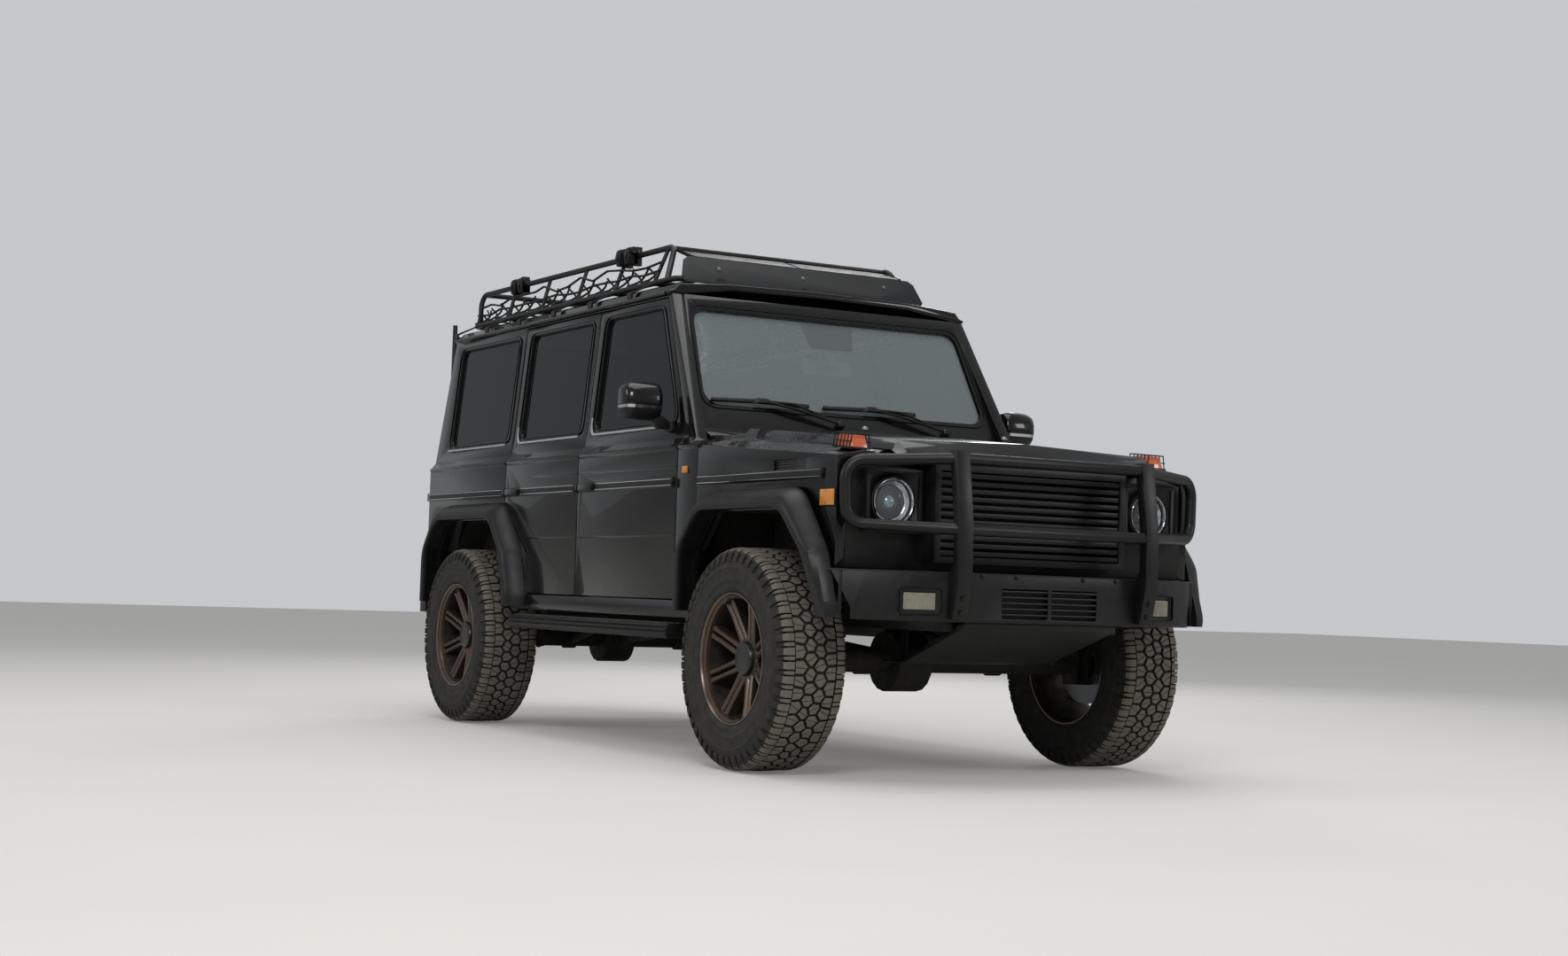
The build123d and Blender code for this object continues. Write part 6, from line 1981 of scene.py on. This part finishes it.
@dataclass
class Mirrors:
    """Door mirrors: painted upper shell, bright band, glass, black foot and arm."""

    # x behind the front axle, height: round the housing from its lower front
    section: tuple[Point2, ...] = (
        (0.748, 1.352), (0.737, 1.392), (0.738, 1.430), (0.752, 1.462), (0.778, 1.479),
        (0.820, 1.477), (0.858, 1.468), (0.860, 1.400), (0.860, 1.336), (0.825, 1.328),
        (0.790, 1.326), (0.765, 1.334),
    )
    # slices of the housing: distance from the vehicle's middle, size of the section
    slices: tuple[Point2, ...] = (
        (0.851, 0.80), (0.858, 0.93), (0.880, 1.0), (0.930, 1.0), (0.975, 0.965), (1.000, 0.86),
        (1.0095, 0.66),
    )
    # the section's middle, and the edges of the bright band
    middle: Point2 = (0.800, 1.402)
    band: tuple[float, ...] = (1.388, 1.384, 1.372, 1.368)

    def build(self) -> None:
        """Make both mirrors."""
        for side, name in SIDES:
            self.mirror(side, name)

    def mirror(self, side: int, name: str) -> None:
        """Make one mirror on its door.

        Args:
            side: -1 right, 1 left.
            name: Name of the side.
        """
        body = f"{name}_front_door"
        shell = bmesh.new()
        middle = Vector((self.middle[0], 0, self.middle[1]))
        rings = []
        for y, size in self.slices:
            spots = [middle + (Vector((x, 0, z)) - middle) * size for x, z in self.section]
            rings.append([(FRONT_X - spot.x, side * y, spot.z) for spot in spots])
        Shop.loft(shell, rings)
        bmesh.ops.recalc_face_normals(shell, faces=shell.faces)
        for level in self.band:
            geom = list(shell.verts) + list(shell.edges) + list(shell.faces)
            bmesh.ops.bisect_plane(shell, geom=geom, plane_co=(0, 0, level), plane_no=(0, 0, 1))
        top, bright_top, bright_low, _ = self.band
        for face in shell.faces:
            z = face.calc_center_median().z
            if z < top:
                face.material_index = 2 if bright_low < z < bright_top else 1
        Shop.finish(
            shell, f"{name}_mirror_housing", body, PAINT, (f"mirror_{name}",), smooth=50, more=(TRIM, CHROME)
        )
        glass, arm = bmesh.new(), bmesh.new()
        pane = (
            (0.870, 1.345), (0.866, 1.445), (0.880, 1.458), (0.985, 1.455), (0.992, 1.440), (0.985, 1.350)
        )
        Shop.slab(glass, [(FRONT_X - 0.8615, side * y, z) for y, z in pane], (-0.002, 0, 0))
        Shop.finish(glass, f"{name}_mirror_glass", body, CHROME, slot="lamp_bright")
        x = FRONT_X - 0.790
        foot = ((-0.030, 1.286), (0.034, 1.286), (0.026, 1.330), (-0.026, 1.330))
        Shop.hull(arm, [(x + a, side * b, z) for a, z in foot for b in (0.786, 0.808)], 0.005)
        elbow = (
            (0.800, 1.294), (0.800, 1.322), (0.856, 1.296), (0.874, 1.312), (0.874, 1.352), (0.846, 1.352),
            (0.842, 1.322)
        )
        Shop.hull(arm, [(x + a, side * b, z) for a in (-0.018, 0.020) for b, z in elbow], 0.006)
        Shop.finish(arm, f"{name}_mirror_arm", body, TRIM)


@dataclass
class Seats:
    """Padded seats: pads swollen by cloth simulation between their seams, then piped along them."""

    voxel: float = 0.009
    pressure: float = 4.0
    frames: int = 16
    # name, length, width, thickness, largest swell, places as (behind front axle, y, height, turn in degrees)
    pads: tuple[tuple[str, float, float, float, float, tuple[tuple[float, ...], ...]], ...] = (
        ("cushion", 0.420, 0.478, 0.128, 0.016, ((1.492, -0.37, 0.984, 94.0), (1.492, 0.37, 0.984, 94.0))),
        ("back", 0.560, 0.462, 0.080, 0.014, ((1.794, -0.37, 1.300, 14.5), (1.794, 0.37, 1.300, 14.5))),
        ("head_restraint", 0.140, 0.240, 0.080, 0.008, (
            (1.862, -0.37, 1.676, 8.0), (1.862, 0.37, 1.676, 8.0), (2.662, -0.40, 1.676, 8.0),
            (2.662, 0.0, 1.676, 8.0), (2.662, 0.40, 1.676, 8.0),
        )),
        ("bench_cushion", 0.420, 1.090, 0.128, 0.016, ((2.292, 0.0, 0.984, 94.0),)),
        ("bench_back", 0.560, 1.080, 0.080, 0.014, ((2.594, 0.0, 1.300, 14.5),)),
    )

    def build(self) -> None:
        """Swell each pad once and set it at its places, with its seams and the seats' frames."""
        for name, length, width, thick, swell, places in self.pads:
            pad = self.swollen(length, width, thick, swell)
            seams = self.seams(pad, length, width)
            for k, (behind, y, z, turn) in enumerate(places):
                matrix = Matrix.Translation((FRONT_X - behind, y, z)) @ self.facing(math.radians(turn))
                for source, part, finish, smooth in ((pad, "pad", LEATHER, 80), (seams, "seams", PIPING, 60)):
                    copy = source.copy()
                    bmesh.ops.transform(copy, matrix=matrix, verts=copy.verts)
                    title = f"seat_{name}_{k + 1}_{part}"
                    piece = Shop.finish(copy, title, Body.VEHICLE, finish, ("seats",), smooth=smooth)
            pad.free()
            seams.free()
        self.frames_and_posts()

    @staticmethod
    def facing(turn: float) -> Matrix:
        """Turn a pad that lies on its back so that its crown faces forward, leaning back by an angle.

        Args:
            turn: Lean in radians.

        Returns:
            The turn.
        """
        side, crown = Vector((0, -1, 0)), Vector((math.cos(turn), 0, math.sin(turn)))
        along = side.cross(crown)
        return Matrix((along, side, crown)).transposed().to_4x4()

    def swollen(self, length: float, width: float, thick: float, swell: float) -> bmesh.types.BMesh:
        """Swell a rounded block by cloth pressure, held along its seams.

        Args:
            length: Size along u.
            width: Size along v.
            thick: Size along the crown.
            swell: Furthest that a point may move.

        Returns:
            The pad, its crown up.
        """
        half = [length / 2 - swell / 2, width / 2 - swell / 2, thick / 2 - swell]
        bm = bmesh.new()
        Shop.box(bm, [-h for h in half], half, thick * 0.30, 4)
        mesh = bpy.data.meshes.new("pad")
        bm.to_mesh(mesh)
        bm.free()
        holder = bpy.data.objects.new("pad", mesh)
        bpy.context.scene.collection.objects.link(holder)
        remesh = holder.modifiers.new("remesh", "REMESH")
        remesh.mode = "VOXEL"
        remesh.voxel_size = self.voxel
        mesh = bpy.data.meshes.new_from_object(holder.evaluated_get(bpy.context.evaluated_depsgraph_get()))
        holder.modifiers.clear()
        holder.data = mesh
        rest = [v.co.copy() for v in mesh.vertices]
        held = holder.vertex_groups.new(name="seams")
        held.add([v.index for v in mesh.vertices if self.near_seam(v.co, half)], 1.0, "REPLACE")
        cloth = holder.modifiers.new("cloth", "CLOTH")
        cloth.settings.vertex_group_mass = held.name
        cloth.settings.use_pressure = True
        cloth.settings.uniform_pressure_force = self.pressure
        cloth.settings.effector_weights.gravity = 0.0
        for frame in range(1, self.frames + 1):
            bpy.context.scene.frame_set(frame)
        made = holder.evaluated_get(bpy.context.evaluated_depsgraph_get()).data
        moved = [v.co.copy() for v in made.vertices]
        holder.modifiers.clear()
        bpy.context.scene.frame_set(1)
        for vert, old, new in zip(mesh.vertices, rest, moved):
            step = new - old
            vert.co = old + step * min(1.0, swell / max(step.length, 1e-9))
        bm = bmesh.new()
        bm.from_mesh(mesh)
        bpy.data.objects.remove(holder)
        bmesh.ops.smooth_vert(
            bm, verts=bm.verts, factor=0.4, use_axis_x=True, use_axis_y=True, use_axis_z=True
        )
        return bm

    @staticmethod
    def channels(half_width: float) -> tuple[float, ...]:
        """Places of the sewn channels across a pad."""
        shares = (-0.56, 0.56) if half_width < 0.4 else (-0.72, -0.24, 0.24, 0.72)
        return tuple(half_width * share for share in shares)

    def near_seam(self, spot: Vector, half: Sequence[float]) -> bool:
        """Tell whether a point of the block lies on a sewn channel or on the border seam.

        Args:
            spot: The point.
            half: Half sizes of the block.

        Returns:
            Whether it is held.
        """
        if spot.z < half[2] * 0.3:
            return spot.z < -half[2] * 0.5
        near_channel = any(
            abs(spot.y - c) < self.voxel * 0.7 for c in self.channels(half[1])
        ) and half[1] > 0.15
        border = max(abs(spot.x) - half[0] + 0.020, abs(spot.y) - half[1] + 0.020)
        return near_channel or abs(border) < self.voxel * 0.6

    def seams(self, pad: bmesh.types.BMesh, length: float, width: float) -> bmesh.types.BMesh:
        """Lay piping on the pad along its border and channels.

        Args:
            pad: The swollen pad.
            length: Size along u.
            width: Size along v.

        Returns:
            The piping.
        """
        tree = BVHTree.FromBMesh(pad)
        half = (length / 2 - 0.026, width / 2 - 0.026)
        border = rounded_outline(rectangle(*half), 0.030, 4)
        lines = [border + border[:1]]
        if width / 2 > 0.15:
            lines += [[(-half[0], c), (half[0], c)] for c in self.channels(width / 2 - 0.008)]
        bm = bmesh.new()
        for line in lines:
            spots = []
            for (u0, v0), (u1, v1) in zip(line, line[1:]):
                count = max(1, int(math.hypot(u1 - u0, v1 - v0) / 0.020))
                for i in range(count + (line[-1] == (u1, v1))):
                    t = i / count
                    above = Vector((u0 + (u1 - u0) * t, v0 + (v1 - v0) * t, 1.0))
                    hit = tree.ray_cast(above, Vector((0, 0, -1)))[0]
                    if hit:
                        spots.append(hit)
            Shop.bar(bm, spots, 0.0022, sides=8)
        return bm

    def frames_and_posts(self) -> None:
        """Seat bases, moulded back shells and the head restraints' posts."""
        bm = bmesh.new()
        # behind the front axle, height, share of the half width
        pan = ((1.33, 0.908, 0.9), (1.30, 0.935, 1.0), (1.745, 0.935, 1.0), (1.72, 0.908, 0.9))
        shell = ((1.735, 0.96, 0.98), (1.785, 0.97, 0.92), (1.905, 1.54, 0.84), (1.868, 1.566, 0.90))
        for y, half, shift in ((-0.37, 0.235, 0.0), (0.37, 0.235, 0.0), (0.0, 0.545, 0.8)):
            x = FRONT_X - shift
            for section, radius in ((pan, 0.012), (shell, 0.014)):
                corners = [(x - a, y + s * half * w, z) for a, z, w in section for s in (-1, 1)]
                Shop.hull(bm, corners, radius, 3)
            Shop.box(bm, (x - 1.70, y - half * 0.78, 0.679), (x - 1.40, y + half * 0.78, 0.915), 0.015)
            for head_y in (y,) if shift == 0 else (-0.4, 0.0, 0.4):
                for dy in (-0.05, 0.05):
                    post = [(x - 1.858, head_y + dy, 1.545), (x - 1.864, head_y + dy, 1.640)]
                    Shop.bar(bm, post, 0.0055, sides=10)
        Shop.finish(bm, "seat_shells_and_posts", Body.VEHICLE, CABIN, ("seats",))


@dataclass
class Fascia:
    """Steering wheel, binnacle, centre screen, vents and grab handle."""

    centre: Point3 = (FRONT_X - 1.090, 0.370, 1.235)
    axis: Point3 = (0.87, 0.0, -0.49)
    ring: float = 0.1755
    grip: float = 0.0145
    # section of boss and column as (along, radius)
    boss: tuple[Point2, ...] = (
        (-0.022, 0.0), (-0.020, 0.045), (-0.010, 0.062), (0.012, 0.066),
        (0.030, 0.052), (0.075, 0.020), (0.188, 0.0138), (0.188, 0.0),
    )

    def build(self) -> None:
        """Make the wheel and dress the dashboard."""
        self.wheel()
        self.dashboard()

    def wheel(self) -> None:
        """Steering wheel with three spokes, its boss and column."""
        wheel = bmesh.new()
        angles = [2 * math.pi * k / 14 for k in range(14)]
        ring = [(self.grip * math.cos(a), self.ring + self.grip * math.sin(a)) for a in angles]
        Shop.lathe(wheel, ring, 64, self.centre, self.axis)
        along = Vector(self.axis).normalized()
        across = Vector((0, 1, 0))
        up = across.cross(along) * (1 if across.cross(along).z > 0 else -1)
        hub = Vector(self.centre)
        for angle in (0.0, math.pi, -math.pi / 2):
            out = across * math.cos(angle) + up * math.sin(angle)
            side = along.cross(out)
            corners = []
            for r, w in ((0.03, 0.030), (0.168, 0.013)):
                for s in (-1, 1):
                    corners += [tuple(hub + out * r + side * w * s + along * d) for d in (0.004, 0.014)]
            Shop.hull(wheel, corners, 0.003)
        Shop.lathe(wheel, self.boss, 40, self.centre, self.axis)
        nodes = ("steering_wheel",)
        Shop.finish(
            wheel, "leather_steering_wheel", Body.STEERING, LEATHER, nodes, "cabin_plastic", smooth=50
        )

    @staticmethod
    def dashboard() -> None:
        """Binnacle, centre screen, vents and the passenger's grab handle."""
        bm, glass = bmesh.new(), bmesh.new()
        x = FRONT_X - 0.847
        binnacle = (
            (0.0, 1.302, 0.190), (-0.075, 1.300, 0.180), (-0.085, 1.368, 0.150), (-0.010, 1.352, 0.165)
        )
        Shop.hull(bm, [(x + a, 0.370 + s * b, z) for a, z, b in binnacle for s in (-1, 1)], 0.012, 3)
        case = ((-0.030, 1.290), (-0.060, 1.290), (-0.072, 1.395), (-0.058, 1.398))
        Shop.hull(bm, [(x + a, s * 0.105, z) for a, z in case for s in (-1, 1)], 0.006)
        screen = ((-0.0600, 1.312), (-0.0635, 1.312), (-0.0735, 1.386), (-0.070, 1.386))
        Shop.hull(glass, [(x + a, s * 0.094, z) for a, z in screen for s in (-1, 1)])
        vent = ((-0.030, 1.292), (-0.105, 1.255), (-0.098, 1.235), (-0.030, 1.240))
        for y in (-0.56, -0.24, 0.12, 0.60):
            Shop.hull(bm, [(x + a, y + s * 0.055, z) for a, z in vent for s in (-1, 1)], 0.004)
        grab = [
            (x - 0.09, -0.60, 1.235), (x - 0.135, -0.58, 1.255), (x - 0.135, -0.32, 1.255),
            (x - 0.09, -0.30, 1.235)
        ]
        Shop.bar(bm, grab, 0.011, 0.03, 12)
        Shop.finish(bm, "fascia_details", Body.VEHICLE, CABIN)
        Shop.finish(glass, "fascia_screen", Body.VEHICLE, TINT)


@dataclass
class Underbody:
    """Coil springs, dampers, radius arms with bushes, track rod, closing plates and board ribs."""

    spring_y: float = 0.462
    arm_y: float = 0.308
    damper_y: float = 0.500
    coil: float = 0.047
    turns: float = 5.5

    def build(self) -> None:
        """Dress both axles and the running boards."""
        self.suspension()
        self.boards()

    def suspension(self) -> None:
        """Coil springs in their cups, radius arms with bushes, dampers and the rear track rod."""
        springs, arms = bmesh.new(), bmesh.new()
        for hub, reach in ((FRONT_X, -1), (REAR_X, 1)):
            count, helix = 84, []
            for k in range(count + 1):
                angle = 2 * math.pi * self.turns * k / count
                x, y = hub + self.coil * math.cos(angle), -self.spring_y + self.coil * math.sin(angle)
                helix.append((x, y, 0.449 + 0.163 * k / count))
            Shop.bar(springs, helix, 0.0068, sides=8)
            for low, high in ((0.435, 0.446), (0.612, 0.6205)):
                cup = [(low, 0.020), (low, 0.058), (high, 0.058), (high, 0.020)]
                Shop.lathe(arms, cup, 32, (hub, -self.spring_y, 0.0), (0, 0, 1))
            start, end = (hub + reach * 0.030, -self.arm_y, 0.372), (hub + reach * 0.820, -self.arm_y, 0.550)
            Shop.bar(arms, [start, end], 0.021, sides=16)
            for x, z in ((start[0], start[2]), (end[0], end[2])):
                bush = [(-0.030, 0.012), (-0.030, 0.036), (0.030, 0.036), (0.030, 0.012)]
                Shop.lathe(arms, bush, 24, (x, -self.arm_y, z))
            x, y = hub + reach * 0.105, -self.damper_y
            Shop.bar(arms, [(x, y, 0.345), (x, y, 0.500)], 0.024, sides=16)
            Shop.bar(springs, [(x, y, 0.500), (x, y, 0.628)], 0.010, sides=12)
            Shop.bar(arms, [(x, y, 0.352), (hub + reach * 0.02, y, 0.385)], 0.016, sides=12)
        Shop.mirror_y(springs)
        Shop.mirror_y(arms)
        Shop.bar(arms, [(REAR_X - 0.075, 0.42, 0.420), (REAR_X - 0.075, -0.30, 0.505)], 0.015, sides=12)
        Shop.finish(springs, "coil_springs_and_rods", Body.VEHICLE, SPRING, ("suspension",), smooth=60)
        Shop.finish(arms, "radius_arms_and_dampers", Body.VEHICLE, UNDER, ("suspension",))

    @staticmethod
    def boards() -> None:
        """Plates that close the sills behind the running boards, and the boards' ribs."""
        ribs, closing = bmesh.new(), bmesh.new()
        for x in (FRONT_X - 0.606, -0.150, REAR_X + 0.700):
            Shop.box(closing, (x - 0.045, -0.800, 0.470), (x, -0.420, 0.500), 0.004)
        Shop.box(closing, (REAR_X + 0.640, -0.722, 0.476), (FRONT_X - 0.602, -0.714, 0.560), 0.002)
        Shop.mirror_y(closing)
        Shop.finish(closing, "sill_closing_plates", Body.VEHICLE, UNDER)
        section = ((-0.008, 0.5045), (0.008, 0.5045), (-0.005, 0.5095), (0.005, 0.5095))
        for k in range(5):
            y = -0.752 - 0.029 * k
            ends = (FRONT_X - 0.600, REAR_X + 0.680)
            Shop.hull(ribs, [(x, y + dy, z) for x in ends for dy, z in section], 0.001)
        Shop.mirror_y(ribs)
        Shop.finish(ribs, "running_board_ribs", Body.VEHICLE, STUDDED)


@dataclass
class Tail:
    """Rear lamps in red and amber, and the rear door's handle and wiper."""

    lamp: tuple[float, float, float, float] = (0.706, 0.799, 0.641, 0.829)

    def build(self) -> None:
        """Dress the rear."""
        self.lamps()
        self.door()

    def lamps(self) -> None:
        """Fluted lenses, two red and one amber on each side."""
        inner, outer, low, high = self.lamp
        bm = bmesh.new()
        levels = ((low, low + 0.060, 0), (low + 0.062, low + 0.125, 0), (low + 0.127, high, 1))
        for z0, z1, index in levels:
            before = len(bm.faces)
            corners = []
            for y in (-inner, -outer):
                for d, g in ((0.0008, 0.0), (0.0118, 0.004)):
                    corners += [(TAIL_X - d, y, z0 + g), (TAIL_X - d, y, z1 - g)]
            Shop.hull(bm, corners, 0.0015)
            flute = ((-0.006, 0.0), (0.006, 0.0), (0.0, 0.0022))
            for k in range(5):
                y = -inner - 0.010 - k * 0.0185
                ends = (z0 + 0.008, z1 - 0.008)
                Shop.hull(bm, [(TAIL_X - 0.0100 - d, y + dy, z) for dy, d in flute for z in ends])
            bm.faces.ensure_lookup_table()
            for face in bm.faces[before:]:
                face.material_index = index
        Shop.mirror_y(bm)
        Shop.finish(bm, "rear_lamp_lenses", Body.VEHICLE, RED, ("rear_lamps",), more=(AMBER,))

    @staticmethod
    def door() -> None:
        """Handle with its bright grip, and the wiper."""
        trim, bright = bmesh.new(), bmesh.new()
        # mesh, ends across, depth and half height of its two faces
        for bm, ends, faces in (
            (trim, (0.480, 0.620), ((0.001, 0.030), (0.016, 0.024))),
            (bright, (0.495, 0.605), ((0.017, 0.013), (0.030, 0.010))),
        ):
            corners = [(TAIL_X - d, y, 1.000 + s * h) for y in ends for d, h in faces for s in (-1, 1)]
            Shop.hull(bm, corners, 0.004)
        lean = 0.080 / (GUTTER_Z - BELT_Z)

        def face_x(z: float) -> float:
            """Station of the rear door's face at a height."""
            return TAIL_X + max(0.0, z - BELT_Z) * lean

        root, elbow = (face_x(1.285) - 0.022, 0.060, 1.272), (face_x(1.40) - 0.024, -0.020, 1.375)
        Shop.bar(trim, [root, elbow, (face_x(1.56) - 0.014, -0.180, 1.560)], 0.0065, 0.05, 10)
        blade = []
        for y, z in ((-0.350, 1.440), (-0.010, 1.690)):
            for d, slip in ((0.003, 0.000), (0.014, 0.005)):
                blade += [(face_x(z - slip + e) - d, y + slip - e, z - slip + e) for e in (0.005, -0.005)]
        Shop.hull(trim, blade, 0.001)
        pivot = [(0.0, 0.0), (0.0, 0.024), (0.024, 0.020), (0.030, 0.0)]
        Shop.lathe(trim, pivot, 24, (face_x(1.272), 0.060, 1.272), (-1, 0, 0.12))
        Shop.finish(trim, "rear_handle_and_wiper", Body.TAIL, TRIM)
        Shop.finish(bright, "rear_door_grip", Body.TAIL, CHROME)


def main() -> None:
    """Build the studio and the vehicle's looks round the frame."""
    logging.basicConfig(level=logging.INFO, format="%(name)s %(message)s")
    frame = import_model()
    record = frame["record"]
    bodies = {n: body for body, members in record["behaviour"]["bodies"].items() for n in members}
    slots = {row["node"]: row["material_slot"] for row in record["subparts"]}
    Studio().build()
    Panels(frame["nodes"], bodies, slots).build()
    Wheels().build()
    Glazing().build(frame["nodes"])
    SideTrim().build()
    Flares().build()
    Nose().build()
    RoofGear().build()
    Mirrors().build()
    Seats().build()
    Fascia().build()
    Underbody().build()
    Tail().build()


if __name__ == "__main__":
    main()
